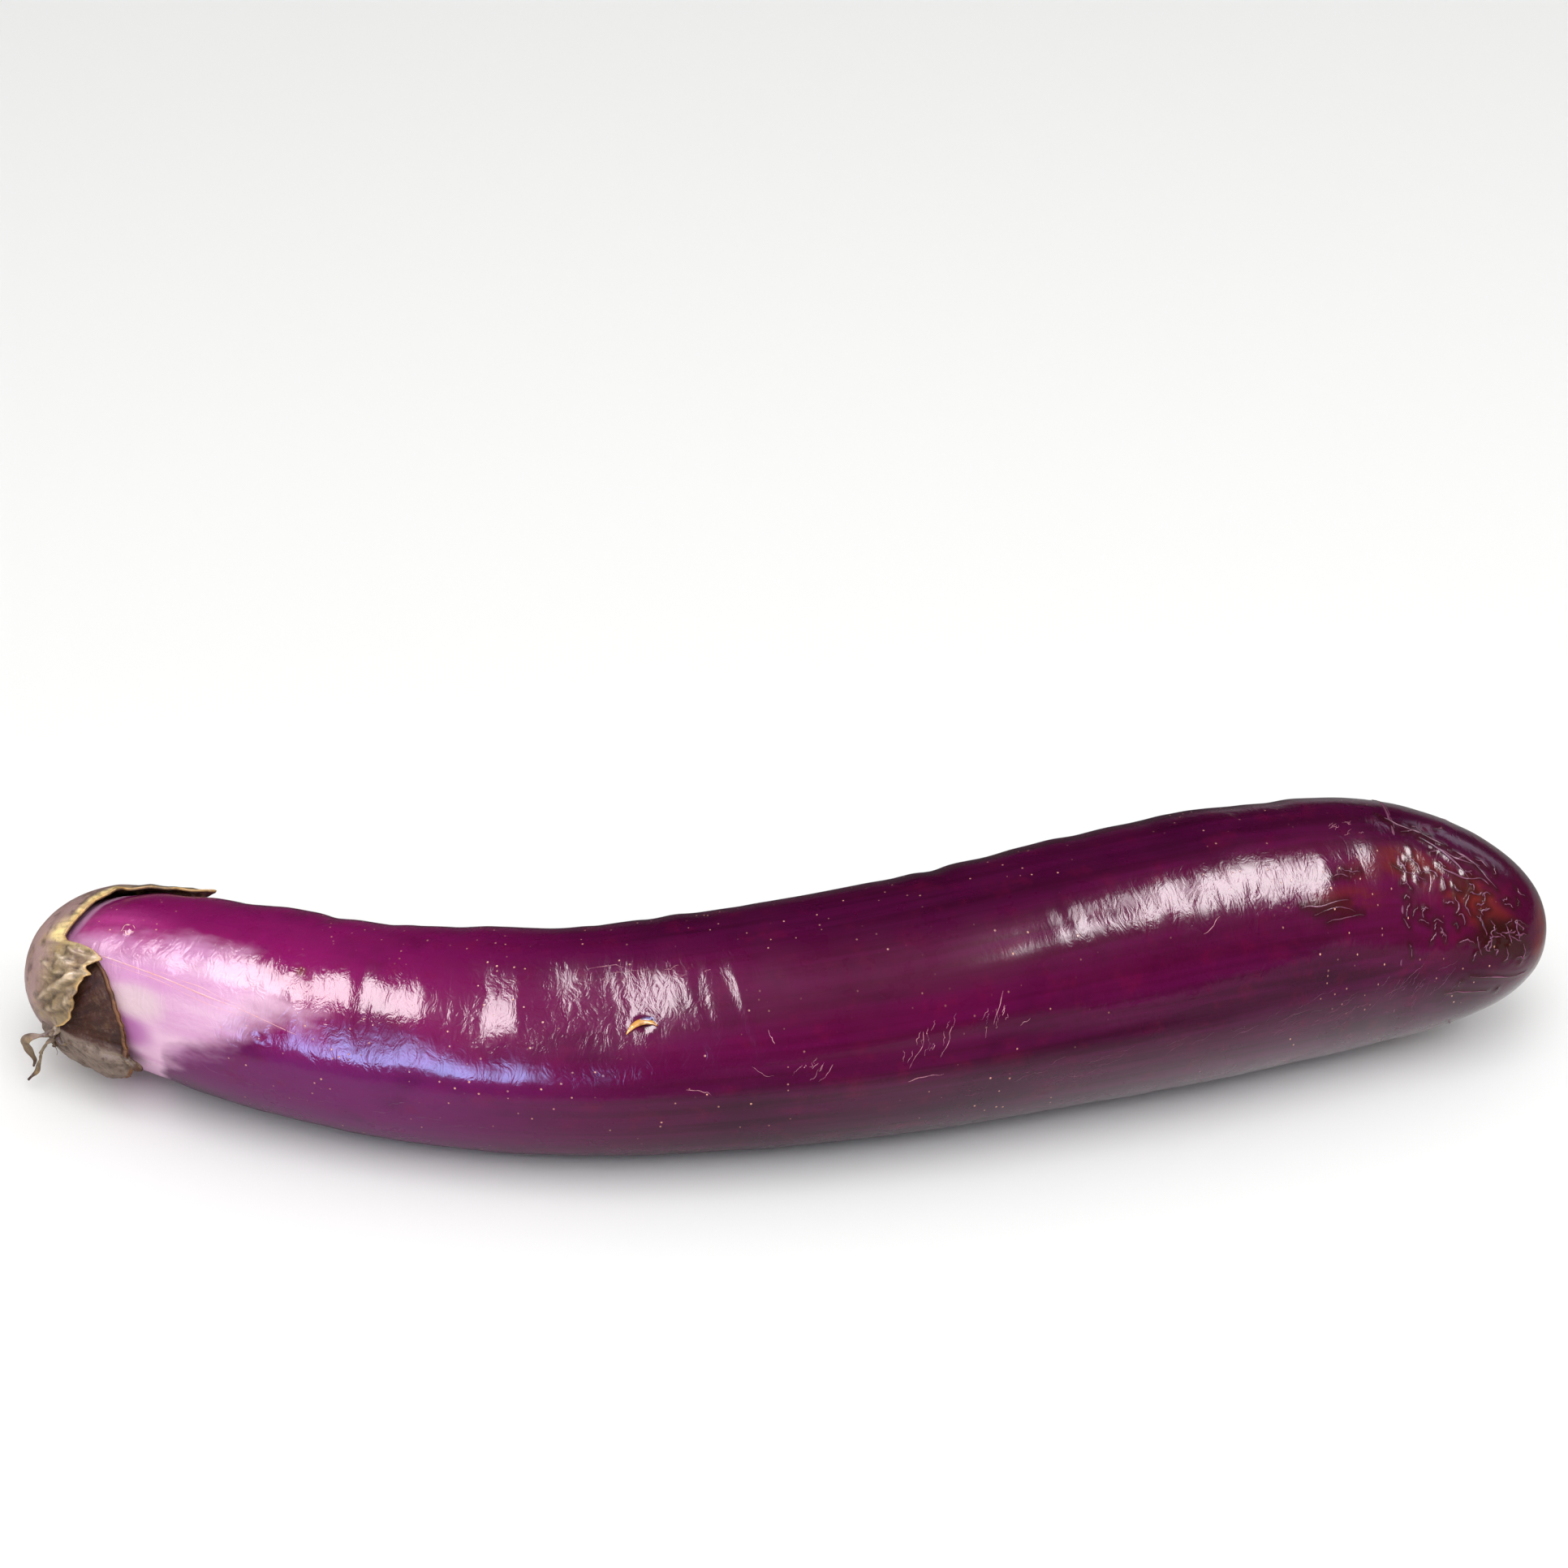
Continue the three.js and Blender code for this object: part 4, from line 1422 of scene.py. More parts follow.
def dried_material(name, look, base, tints, sheen, patches=(0.45, 0.5), specks=0.4):
    """Dried calyx tissue: mottled and fibrous, with its parts tinted by (mask, colour) pairs."""
    material, tree, shader = new_material(name)
    grain_place = attribute(tree, "grain_place", "Vector")
    lines, line_height = fibres(tree, grain_place, 120.0, 1500.0, FIBRE_HEIGHT)
    fibrous = attribute(tree, "fibrous")
    place = own_place(tree)
    wear = grain(tree, place, 620.0, 4.0, 0.65)
    colour = base
    for mask, tint in tints:
        amount = times(tree, attribute(tree, mask), rise(tree, wear, 0.2, 0.5))
        colour = blend_colours(tree, amount, colour, tint)
    for scale, dark, pale, amounts in (
        (130.0, look.plum_colour, look.straw_colour, patches),
        (420.0, look.dark_colour, look.bleached_colour, (0.6, specks)),
    ):
        colour = mottled(tree, place, colour, dark, pale, (scale, 3.1 * scale), amounts)
    lined = times(tree, lines, fibrous, 0.5)
    colour = blend_colours(tree, lined, colour, look.groove_colour, "MULTIPLY")
    pores = grain(tree, place, 2600.0, 2.0, 0.6)
    line_height = times(tree, line_height, fibrous)
    height = piled(tree, line_height, (pores, PORE_HEIGHT), (wear, WEAR_HEIGHT))
    values = {
        "Base Color": colour,
        "Roughness": rise(tree, wear, 0.25, 0.75, 0.42, 0.72),
        "Normal": bump_normal(tree, height),
        "Coat Weight": sheen,
        "Coat Roughness": 0.28,
        "Specular IOR Level": 0.2,
    }
    set_inputs(tree, shader, values)
    return material


def add_strand(surface, rings, path, tip_start=0.55):
    """Adds a strand of fibres. Its tip darkens from a share of its length on."""
    even = np.linspace(0, 1, len(path))
    length = np.linalg.norm(np.diff(path[:, :3], axis=0), axis=1).sum()
    turn = np.linspace(0, 360, rings.shape[1], endpoint=False)[None, :]
    values = {
        "grain_place": wrapped_place(even[:, None] * length, turn, 0.5),
        "tip": np.broadcast_to(ease(even, tip_start, 1.0)[:, None], rings.shape[:2]),
        "fibrous": np.ones(rings.shape[:2]),
    }
    surface.add_rings(rings, path[0, :3], path[-1, :3], values)


def curl_surface(look):
    """The curls, the strands of the knot, the rolled lip and a few loose fibres."""
    surface = Surface()
    knot = point_at(KNOT_REACH, CURL_TURN, fruit_radius(KNOT_REACH) + CURL_OUTSET)
    even = np.linspace(0, 60, 46)
    for seed, strand in enumerate((*CURLS, *KNOT_STRANDS), 81):
        path = smooth_path(strand, len(even))
        wobble = [soft_noise(even, 0, 6, 8, seed + 20 * axis) for axis in (1, 2, 3)]
        path[:, :3] += knot + 0.24 * np.stack(wobble, -1)
        path[:, 3] *= 1 + 0.42 * soft_noise(even, 0, 4, 8, seed)
        twist = 1.6 * soft_noise(even, 0, 22, 8, seed + 9) + 0.5
        outward = np.stack([0.3 * np.sin(twist), -np.cos(twist), np.sin(twist)], -1)
        add_strand(surface, ribbon_rings(path, outward, 14), path)
    for strand in LOOSE_FIBRES:
        path = smooth_path(strand, 20)
        radius = look.fibre_radius / MM * np.linspace(1, 0.4, len(path))
        path = np.column_stack([path + knot, radius, radius])
        add_strand(surface, ribbon_rings(path, (0, -0.3, 1), 6), path)
    reach, turn, outset, *widths = np.array(LIP_PATH).T
    centre = point_at(reach, turn, fruit_radius(reach) + outset)
    path = smooth_path(np.column_stack([centre, *widths]), 40)
    path[:, 3:] *= 1 + 0.10 * soft_noise(np.linspace(0, 60, 40), 0, 6, 8, 99)[:, None]
    add_strand(surface, ribbon_rings(path, (0, -1, 0.2), 22), path, -1.0)
    return surface


# ---------------------------------------------------------------- the stem

# How far along the stem's axis its boss ends, in mm.
BOSS_TOP = float(fruit_radius(np.array(NECK_CAP))) + CALYX_GAP + CROWN_THICKNESS + BOSS_HEIGHT
# The boss: distance short of its top, and radius.
BOSS_PROFILE = [
    (5.6, BOSS_RADIUS + 2.0),
    (4.0, BOSS_RADIUS + 0.3),
    (2.0, BOSS_RADIUS - 0.7),
    (0.5, STEM_RADIUS + 0.6),
    (0.0, STEM_RADIUS + 0.1),
]
# The stub's side: distance from its foot, and share of its radius. Its cut face: distance short
# of the stub's length, and share of its radius, over a bark rim and a pithy middle.
STUB_SIDE = [(0, 0.6), (0.05, 0.98), (0.9, 0.92), (2.4, 0.86), (4.6, 0.85)]
STUB_FACE = [
    (0.7, 0.91), (0.12, 0.93), (0.0, 0.89), (0.05, 0.76),
    (0.20, 0.70), (0.12, 0.5), (0.22, 0.3), (0.35, 0.08),
]
STEM_SIDES = 96
PITH_HEIGHT = 0.0003


def stem_axes():
    """The stem's start, in mm, and two directions across it."""
    centre = section_at(np.array(NECK_CAP))[0]
    across = np.cross(STEM_DIRECTION, [0.0, 0.0, 1.0])
    across /= np.linalg.norm(across)
    return centre, across, np.cross(STEM_DIRECTION, across)


def ribbed(distances, radii, ribs, depth, seed):
    """Distances along the stem, turns round it, and its radii with ribs raised on them."""
    turns = np.linspace(0, 360, STEM_SIDES, endpoint=False)
    distance, turn = np.meshgrid(distances, turns, indexing="ij")
    radius = radii[:, None]
    finer = (0.35 * depth, 1.5, 3 * ribs, seed + 1)
    ridges = noises(distance, turn, (depth, 6, ribs, seed), finer)
    return distance, turn, radius + ridges * np.clip(radius / STEM_RADIUS, 0, 1)


def turned_surface(distance, turn, radius, values):
    """A body round the stem's axis, closed by a point on the axis at each end."""
    centre, across, over = stem_axes()
    axis = centre + STEM_DIRECTION * distance[..., None]
    angle = np.radians(turn)[..., None]
    spoke = np.cos(angle) * across + np.sin(angle) * over
    values = {"grain_place": wrapped_place(distance, turn, STEM_RADIUS), **values}
    surface = Surface()
    surface.add_rings(axis + spoke * radius[..., None], axis[0, 0], axis[-1, 0], values)
    return surface


def boss_surface():
    """The boss of the calyx that the stem grows from."""
    knots = [(BOSS_TOP - short, radius, 0) for short, radius in BOSS_PROFILE]
    distances, radii, _ = smooth_path(knots, 30).T
    shape = ribbed(distances, radii, 11, 0.35, 91)
    values = {"tip": np.zeros(shape[0].shape), "fibrous": np.ones(shape[0].shape)}
    return turned_surface(*shape, values)


def stem_surface(look):
    """The stub: a waist, a flared cut end, and a cut face with a bark rim and a pithy middle."""
    first = BOSS_TOP + PART_GAP
    last = first + look.length / MM
    side = [(first + along, share) for along, share in STUB_SIDE]
    side += [(last - short, share) for short, share in STUB_FACE]
    knots, even = np.linspace(0, 1, len(side)), np.linspace(0, 1, 90)
    distances, shares = (np.interp(even, knots, column) for column in np.array(side).T)
    distance, turn, radius = ribbed(distances, STEM_RADIUS * shares, 9, 0.22, 95)
    angle = np.radians(turn)
    face = (radius * np.cos(angle), radius * np.sin(angle), np.zeros(radius.shape))
    values = {
        "cut": np.broadcast_to(ease(even, 0.60, 0.66)[:, None], radius.shape),
        "ring": radius / STEM_RADIUS,
        "face_place": np.stack(face, -1) * MM,
    }
    return turned_surface(distance, turn, radius, values)


def stem_material(look):
    """The stub: mottled bark on its side, and rings of wood and pith on its cut face."""
    material, tree, shader = new_material("Cut Stem")
    place = attribute(tree, "grain_place", "Vector")
    _, line_height = fibres(tree, place, 60.0, 1300.0, FIBRE_HEIGHT)
    tints = (look.bark_colour, look.dark_colour, look.bleached_colour)
    bark = mottled(tree, place, *tints, (300.0, 1200.0), (0.7, 0.4))
    pith = grain(tree, attribute(tree, "face_place", "Vector"), 900.0, 4.0, 0.7)
    stops = [
        (0.0, look.pith_colour),
        (0.42, look.pith_colour),
        (0.58, look.wood_colour),
        (0.80, look.wood_colour),
        (0.88, look.dark_colour),
    ]
    wood = colour_run(tree, attribute(tree, "ring"), stops)
    wood = blend_colours(tree, rise(tree, pith, 0.4, 0.7, 0.0, 0.5), wood, look.dark_colour)
    height = piled(tree, line_height, (pith, PITH_HEIGHT))
    values = {
        "Base Color": blend_colours(tree, attribute(tree, "cut"), bark, wood),
        "Roughness": rise(tree, pith, 0.3, 0.7, 0.7, 0.9),
        "Normal": bump_normal(tree, height),
    }
    set_inputs(tree, shader, values)
    return material


# ---------------------------------------------------------------- settings


def colour_property(name, description, colour):
    """A colour that a user may change."""
    return bpy.props.FloatVectorProperty(
        name=name,
        description=description,
        subtype="COLOR",
        size=3,
        min=0.0,
        max=1.0,
        default=colour,
    )


def length_property(name, description, millimetres):
    """A length that a user may change, given in millimetres."""
    return bpy.props.FloatProperty(
        name=name,
        description=description,
        default=millimetres * MM,
        min=0.0,
        precision=5,
        unit="LENGTH",
    )


class EggplantSkinSettings(bpy.types.PropertyGroup):
    """The skin's colours, its wax and its veins"""

    neck_colour: colour_property("Neck", "The skin's colour round the neck", (0.235, 0.005, 0.105))
    shoulder_colour: colour_property(
        "Shoulder", "The skin's colour below the neck", (0.14, 0.002, 0.060)
    )
    body_colour: colour_property(
        "Body", "The skin's colour over the middle", (0.078, 0.0008, 0.028)
    )
    blossom_colour: colour_property(
        "Blossom end", "The skin's colour towards the blossom end", (0.085, 0.003, 0.029)
    )
    streak_colour: colour_property("Streaks", "Fine streaks along the fruit", (0.17, 0.003, 0.095))
    flush_colour: colour_property(
        "Flush", "Bright skin between the calyx and the ripe colour", (0.42, 0.04, 0.22)
    )
    violet_colour: colour_property("Violet", "The neck's underside", (0.15, 0.009, 0.115))
    # Dark patches, and the painted shade on the skin's top and lower side.
    dark_patch_and_shade_colour: colour_property(
        "Deep patches", "Darker, bluer skin and patches", (0.022, 0.0003, 0.012)
    )
    warm_colour: colour_property("Warm patches", "Redder patches", (0.155, 0.002, 0.032))
    pale_colour: colour_property(
        "Shaded skin", "Skin that the calyx kept from the sun", shade(220, 180, 205)
    )
    lilac_colour: colour_property(
        "Shaded streaks", "Streaks in the pale skin", shade(203, 145, 190)
    )
    blush_colour: colour_property(
        "Blush", "Where colour comes back into the pale skin", shade(166, 92, 158)
    )
    green_colour: colour_property(
        "Green", "The palest skin, beside the calyx", shade(214, 204, 192)
    )
    russet_colour: colour_property("Russet", "Corky brown patches", shade(104, 26, 24))
    # Dark brown patches, and the painted shade beside the scars and puckers.
    bruise_and_shade_colour: colour_property("Bruise", "Dark brown patches", shade(48, 14, 14))
    scratch_colour: colour_property("Scratches", "Fine scratches", shade(206, 140, 150))
    speck_colour: colour_property("Specks", "Pin-prick speckles", shade(222, 160, 140))
    vein_colour: colour_property("Veins", "Fine lines on the neck", shade(222, 158, 156))
    scar_colour: colour_property("Scars", "Lines of scar tissue", shade(112, 46, 80))
    scab_colour: colour_property("Scab", "The lifted flake of dried skin", shade(214, 150, 56))
    # A bluish painted reflection of the window on the flake.
    flake_reflection_colour: colour_property(
        "Flake", "The skin that lifts over the scab", shade(128, 116, 160)
    )
    gloss: bpy.props.FloatProperty(
        name="Gloss",
        description="How much clear wax lies on the skin",
        default=1.0,
        min=0.0,
        max=1.0,
        subtype="FACTOR",
    )
    vein_height: length_property("Vein height", "How far the neck's veins stand out", VEIN_HEIGHT)


class EggplantCalyxSettings(bpy.types.PropertyGroup):
    """The dried calyx's colours and its loose fibres"""

    crown_colour: colour_property("Crown", "The calyx's smooth crown", shade(172, 139, 136))
    flap_colour: colour_property("Flap", "The torn flap of the front sepal", shade(170, 146, 108))
    # Painted highlight on the flap's raised folds.
    ridge_highlight_colour: colour_property("Ridges", "The flap's raised folds", shade(222, 198, 168))
    gold_colour: colour_property("Gold", "The rim beside the fruit", shade(255, 228, 156))
    rim_colour: colour_property("Edge", "The calyx's ragged edges", shade(226, 180, 104))
    dry_colour: colour_property("Sepals", "The long dried sepals", shade(112, 98, 84))
    inner_colour: colour_property("Inner face", "The folded sepal's inner face", shade(76, 42, 26))
    outer_colour: colour_property("Fold", "The folded sepal's outer face", shade(142, 124, 112))
    hem_colour: colour_property("Hem", "The folded sepal's hem", shade(138, 92, 58))
    curl_colour: colour_property("Curls", "The dried curls", shade(150, 132, 108))
    # Dark patches, and the painted shade in the flap's grooves and in the hollow beside the knot.
    dark_colour: colour_property("Shadowed tissue", "Dark patches and grooves", shade(56, 37, 29))
    bleached_colour: colour_property("Bleached tissue", "Pale specks", shade(172, 154, 130))
    plum_colour: colour_property(
        "Plum patches", "Patches that kept some purple", shade(120, 86, 90)
    )
    straw_colour: colour_property("Straw patches", "Yellowed patches", shade(186, 154, 98))
    groove_colour: colour_property("Grooves", "What the grooves are darkened by", (0.4, 0.35, 0.3))
    fibre_radius: length_property("Loose fibres", "The loose fibres' radius", FIBRE_RADIUS)


class EggplantStemSettings(bpy.types.PropertyGroup):
    """The stub's colours and its length"""

    bark_colour: colour_property("Bark", "The stub's side", shade(112, 100, 74))
    wood_colour: colour_property("Wood", "The cut face's ring of wood", shade(186, 170, 122))
    pith_colour: colour_property("Pith", "The cut face's middle", shade(206, 196, 158))
    dark_colour: colour_property("Dark", "Grooves and the dried rim", shade(70, 52, 36))
    bleached_colour: colour_property("Bleached", "Pale specks", shade(196, 184, 150))
    length: length_property("Length", "The stub's length", STEM_LENGTH)


class EggplantStageSettings(bpy.types.PropertyGroup):
    """The floor, the lights and the room"""

    floor_size: bpy.props.FloatProperty(
        name="Floor", description="The floor's side", default=8.0, min=1.0, unit="LENGTH"
    )
    floor_colour: colour_property("Floor", "The floor's colour", (0.82, 0.82, 0.82))
    far_floor_colour: colour_property(
        "Far floor", "The floor's colour as the skin mirrors it further off", (0.035, 0.035, 0.035)
    )
    light_strength: bpy.props.FloatProperty(
        name="Light", description="How bright the softboxes are", default=1.0, min=0.0
    )
    room_colour: colour_property("Room", "What the room throws back", (0.78, 0.78, 0.77))


# ---------------------------------------------------------------- the operators


class EGGPLANT_OT_skin(bpy.types.Operator):
    """Builds the fruit's skin with its scars, scratches, veins and scab"""

    bl_idname = "eggplant.skin"
    bl_label = "Build the skin"

    def execute(self, context):
        look = context.scene.eggplant_skin
        skin = skin_surface().make("fruit_skin", skin_material(look))
        finish_piece(skin, "skin", "fruit")
        scars = [*SCAR_LINES, *PUCKERS, *scatter_scratches(HEALED_GROUPS, 84)]
        scratches = [(half, SCRATCH_HEIGHT, places) for half, places in SCRATCH_LINES]
        scratches += scatter_scratches(SCRATCH_GROUPS, 83)
        veins = [(half, look.vein_height / MM, places) for half, places in VEIN_LINES]
        scar = line_material("Scar Tissue", look.scar_colour, look.bruise_and_shade_colour, 0.5)
        scratch = line_material("Scratches", look.scratch_colour, look.streak_colour, 0.5)
        vein = line_material("Veins", look.vein_colour, look.pale_colour, 0.4)
        # The flake's colour is a painted reflection of the window.
        flake = line_material("Lifted Flake", look.flake_reflection_colour, look.dark_patch_and_shade_colour, 0.3)
        scab = line_material("Scab", look.scab_colour, look.russet_colour, 0.45)
        for name, surface, material in (
            ("skin_scars", skin_lines(scars), scar),
            ("skin_scratches", skin_lines(scratches), scratch),
            ("skin_veins", skin_lines(veins), vein),
            ("skin_flake", skin_lines(FLAKE_LINES, 0.0), flake),
            ("skin_scab", scab_surface(), scab),
        ):
            finish_piece(surface.make(name, material), "skin")
        return {"FINISHED"}


class EGGPLANT_OT_calyx(bpy.types.Operator):
    """Builds the dried calyx: its cup, its folded sepal, its curls and its boss"""

    bl_idname = "eggplant.calyx"
    bl_label = "Build the calyx"

    def execute(self, context):
        look = context.scene.eggplant_calyx
        cup_tints = [
            ("dry", look.dry_colour),
            ("flap", look.flap_colour),
            # Painted shade in the flap's grooves, and painted highlight on its folds.
            ("groove_shade", look.dark_colour),
            ("ridge_highlight", look.ridge_highlight_colour),
            ("gold", look.gold_colour),
            ("rim", look.rim_colour),
            ("inside", look.inner_colour),
        ]
        fold_tints = [
            ("below", look.outer_colour),
            ("edge", look.hem_colour),
            # Painted shade in the hollow beside the knot.
            ("hollow", look.dark_colour),
        ]
        tip_tints = [("tip", look.inner_colour)]
        cup = dried_material("Calyx Cup", look, look.crown_colour, cup_tints, 0.5)
        fold = dried_material(
            "Folded Sepal", look, look.inner_colour, fold_tints, 0.06, (0.12, 0.1), 0.1
        )
        curl = dried_material("Dried Curls", look, look.curl_colour, tip_tints, 0.15)
        boss = dried_material("Stem Boss", look, look.dry_colour, tip_tints, 0.1)
        finish_piece(cup_surface().make("calyx_cup", cup), "husk", "calyx")
        finish_piece(fold_surface().make("folded_sepal", fold), "husk")
        finish_piece(curl_surface(look).make("sepal_curls", curl), "husk")
        finish_piece(boss_surface().make("stem_boss", boss), "husk")
        return {"FINISHED"}


class EGGPLANT_OT_stem(bpy.types.Operator):
    """Builds the stub of stem with its cut face"""

    bl_idname = "eggplant.stem"
    bl_label = "Build the stem"

    def execute(self, context):
        look = context.scene.eggplant_stem
        stem = stem_surface(look).make("cut_stem", stem_material(look))
        finish_piece(stem, "cut_stem", "stem")
        return {"FINISHED"}


# Boxes of light that hang this high, in metres, face straight down. Lower ones face the eggplant.
HANGING_HEIGHT = 1.0
WHITE = (1.0, 1.0, 1.0)
WARM_WHITE = (1.0, 0.94, 0.96)
SKY_BLUE = (0.36, 0.48, 1.0)
# Their name, place and size in metres, colour, radiance, how much of each half fades out towards
# its edge, and whether it is one the skin mirrors or one that lights matt surfaces.
BOXES = [
    ("Left Softbox", (-0.79, -0.34, 1.0), (0.70, 1.20), WARM_WHITE, 16.5, 0.08, True),
    ("Left Wing", (-0.39, -0.30, 1.0), (0.16, 0.62), WARM_WHITE, 16.5, 0.12, True),
    ("Right Softbox", (0.54, -0.04, 1.0), (0.36, 1.16), WARM_WHITE, 17.5, 0.5, True),
    ("Right Wing", (0.33, 0.04, 1.0), (0.16, 0.44), WARM_WHITE, 9.0, 0.6, True),
    ("Window", (-0.66, -1.06, 0.15), (1.04, 1.0), SKY_BLUE, 19.0, 0.95, True),
    ("Back Panel", (1.0, 1.1, 0.62), (0.9, 0.4), (0.8, 0.82, 1.0), 1.1, 0.5, True),
    ("Front Light", (0.0, -0.66, 1.0), (1.9, 1.3), WHITE, 3.1, 0.0, False),
]
# The floor lies this far below the eggplant, in metres.
FLOOR_DROP = 0.0003
FLOOR_CLOUD_COLOUR = (0.7, 0.7, 0.7)
# In the skin's mirrored light the floor fades, as a small table does: over this run away from
# the skin in metres, and less towards the blossom end, over runs of X in metres.
FLOOR_MIRROR_RUN = (0.006, 0.060)
FLOOR_DIM_RUN = (-0.02, 0.10)
FLOOR_BRIGHT_RUN = (0.08, 0.12)
# How bright the room is: as the camera sees it, as it lights matt surfaces, and as it is mirrored.
SEEN_ROOM, MATT_ROOM, MIRRORED_ROOM = 1.0, 0.98, 0.006
# The camera: its offset from the eggplant's middle in mm, tilt in degrees, lens and sensor in mm.
CAMERA_OFFSET = (-0.636, -570.85, 411.03)
CAMERA_TILT = 58.267
CAMERA_LENS = 95.0
SENSOR_WIDTH = 36.0


class EGGPLANT_OT_stage(bpy.types.Operator):
    """Sets up the floor, the lights, the room and the camera"""

    bl_idname = "eggplant.stage"
    bl_label = "Set the stage"

    def execute(self, context):
        look = context.scene.eggplant_stage
        scene = context.scene
        scene.view_settings.view_transform = "Standard"
        middle = (CAD_BOX[0] + CAD_BOX[1]) / 2
        ground = Vector((middle.x, middle.y, CAD_BOX[0].z))
        self.lay_floor(scene, look, ground)
        for box in BOXES:
            self.hang_box(scene, look, ground, *box)
        self.light_room(scene, look)
        self.place_camera(scene, ground)
        return {"FINISHED"}

    def lay_floor(self, scene, look, ground):
        """Lays a plain floor a hair below the eggplant."""
        half = look.floor_size / 2
        height = ground.z - FLOOR_DROP
        corners = [(-half, -half), (half, -half), (half, half), (-half, half)]
        points = [(ground.x + x, ground.y + y, height) for x, y in corners]
        mesh = bpy.data.meshes.new("floor")
        mesh.from_pydata(points, [], [(0, 1, 2, 3)])
        mesh.materials.append(self.floor_material(look))
        floor = bpy.data.objects.new("floor", mesh)
        scene.collection.objects.link(floor)

    def floor_material(self, look):
        """Matt paper that turns darker further off, but only where the skin mirrors it."""
        material, tree, shader = new_material("Floor")
        place = own_place(tree)
        cloud = times(tree, grain(tree, place, 3.0, 2.0), 0.04)
        colour = blend_colours(tree, cloud, look.floor_colour, FLOOR_CLOUD_COLOUR)
        path = wire(tree, "ShaderNodeLightPath").outputs
        sideways = along_x(tree, place)
        far = rise(tree, path["Ray Length"], *FLOOR_MIRROR_RUN)
        far = reckon(tree, "MAXIMUM", far, rise(tree, sideways, *FLOOR_DIM_RUN, 0.6, 0.0))
        far = times(tree, far, rise(tree, sideways, *FLOOR_BRIGHT_RUN, 1.0, 0.8))
        dim = times(tree, path["Is Glossy Ray"], far)
        colour = blend_colours(tree, dim, colour, look.far_floor_colour)
        values = {"Base Color": colour, "Roughness": 0.9, "Specular IOR Level": 0.0}
        set_inputs(tree, shader, values)
        return material

    def hang_box(self, scene, look, ground, name, offset, size, colour, radiance, fade, mirrored):
        """Hangs one box of light."""
        light = bpy.data.lights.new(name, "AREA")
        light.shape = "RECTANGLE"
        light.size, light.size_y = size
        light.color = colour
        light.energy = radiance * look.light_strength * size[0] * size[1] * math.pi
        if fade:
            self.fade_edges(light, fade)
        box = bpy.data.objects.new(name, light)
        box.location = ground + Vector(offset)
        if offset[2] < HANGING_HEIGHT:
            box.rotation_mode = "QUATERNION"
            box.rotation_quaternion = (-box.location).to_track_quat("-Z", "Y")
        box.visible_camera = False
        box.visible_glossy = mirrored
        box.visible_diffuse = not mirrored
        scene.collection.objects.link(box)

    def fade_edges(self, light, fade):
        """Fades a share of each half of a box of light towards its edge."""
        light.use_nodes = True
        tree = light.node_tree
        across = wire(tree, "ShaderNodeNewGeometry").outputs["Parametric"]
        strength = 1.0
        for share in wire(tree, "ShaderNodeSeparateXYZ", {0: across}).outputs[:2]:
            nearest = reckon(tree, "MINIMUM", share, reckon(tree, "SUBTRACT", 1.0, share))
            strength = times(tree, strength, rise(tree, nearest, 0.0, fade / 2))
        tree.links.new(strength, tree.nodes["Emission"].inputs["Strength"])

    def light_room(self, scene, look):
        """Fills the room with light: white where it is seen, and nearly none where mirrored."""
        world = bpy.data.worlds.new("Room")
        world.use_nodes = True
        tree = world.node_tree
        path = wire(tree, "ShaderNodeLightPath").outputs
        seen = tree.nodes["Background"]
        set_inputs(tree, seen, {"Color": rgba(WHITE), "Strength": SEEN_ROOM})
        colour = rgba(look.room_colour)
        matt, mirrored = (
            wire(tree, "ShaderNodeBackground", {"Color": colour, "Strength": strength})
            for strength in (MATT_ROOM, MIRRORED_ROOM)
        )
        shaders = {0: path["Is Glossy Ray"], 1: matt.outputs[0], 2: mirrored.outputs[0]}
        unseen = wire(tree, "ShaderNodeMixShader", shaders)
        shaders = {0: path["Is Camera Ray"], 1: unseen.outputs[0], 2: seen.outputs[0]}
        room = wire(tree, "ShaderNodeMixShader", shaders)
        tree.links.new(room.outputs[0], tree.nodes["World Output"].inputs["Surface"])
        scene.world = world

    def place_camera(self, scene, ground):
        """Places the camera in front of the eggplant, looking down at it."""
        data = bpy.data.cameras.new("Camera")
        data.lens = CAMERA_LENS
        data.sensor_width = SENSOR_WIDTH
        camera = bpy.data.objects.new("Camera", data)
        camera.location = ground + Vector(CAMERA_OFFSET) * MM
        camera.rotation_euler = (math.radians(CAMERA_TILT), 0.0, 0.0)
        scene.collection.objects.link(camera)
        scene.camera = camera


class EGGPLANT_PT_panel(bpy.types.Panel):
    """The eggplant's settings and its operators"""

    bl_label = "Eggplant"
    bl_idname = "EGGPLANT_PT_panel"
    bl_space_type = "VIEW_3D"
    bl_region_type = "UI"
    bl_category = "Eggplant"

    def draw(self, context):
        for settings in SETTINGS:
            box = self.layout.box()
            group = getattr(context.scene, settings)
            for name in group.__annotations__:
                box.prop(group, name)
            box.operator(settings.replace("_", "."))


# Where the scene keeps each group of settings. The operator that builds from them has the same
# name, with a dot.
SETTINGS = {
    "eggplant_skin": EggplantSkinSettings,
    "eggplant_calyx": EggplantCalyxSettings,
    "eggplant_stem": EggplantStemSettings,
    "eggplant_stage": EggplantStageSettings,
}
CLASSES = (
    *SETTINGS.values(),
    EGGPLANT_OT_skin,
    EGGPLANT_OT_calyx,
    EGGPLANT_OT_stem,
    EGGPLANT_OT_stage,
    EGGPLANT_PT_panel,
)


def register():
    """Registers the classes, and gives the scene its settings."""
    for cls in CLASSES:
        bpy.utils.register_class(cls)
    for name, settings in SETTINGS.items():
        setattr(bpy.types.Scene, name, bpy.props.PointerProperty(type=settings))


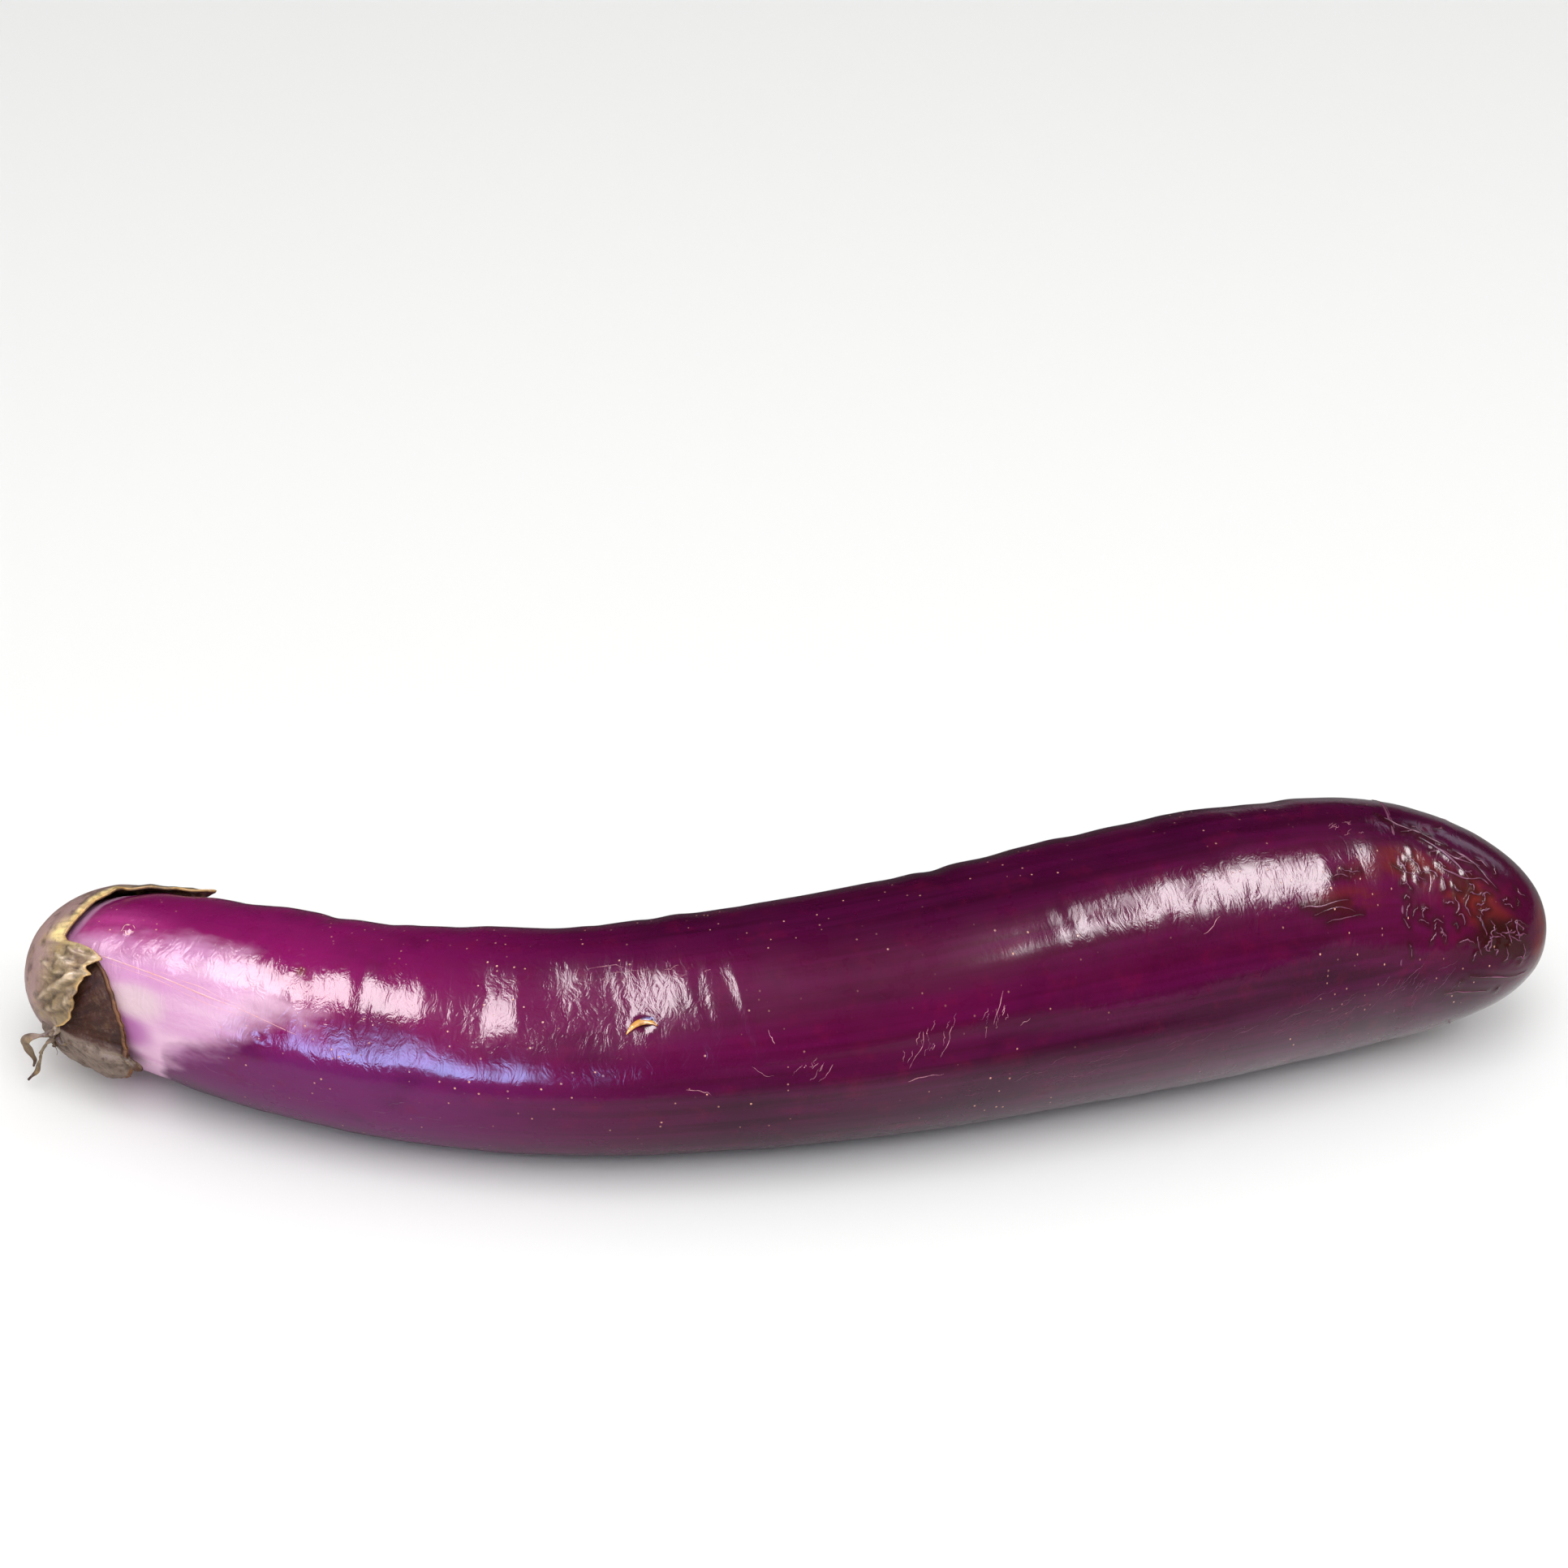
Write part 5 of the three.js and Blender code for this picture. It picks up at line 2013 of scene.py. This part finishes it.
def unregister():
    """Takes the settings and the classes away again."""
    for name in SETTINGS:
        delattr(bpy.types.Scene, name)
    for cls in reversed(CLASSES):
        bpy.utils.unregister_class(cls)


def main():
    """Builds the eggplant and its stage."""
    register()
    bpy.ops.eggplant.skin()
    bpy.ops.eggplant.calyx()
    bpy.ops.eggplant.stem()
    bpy.ops.eggplant.stage()


if __name__ == "__main__":
    main()
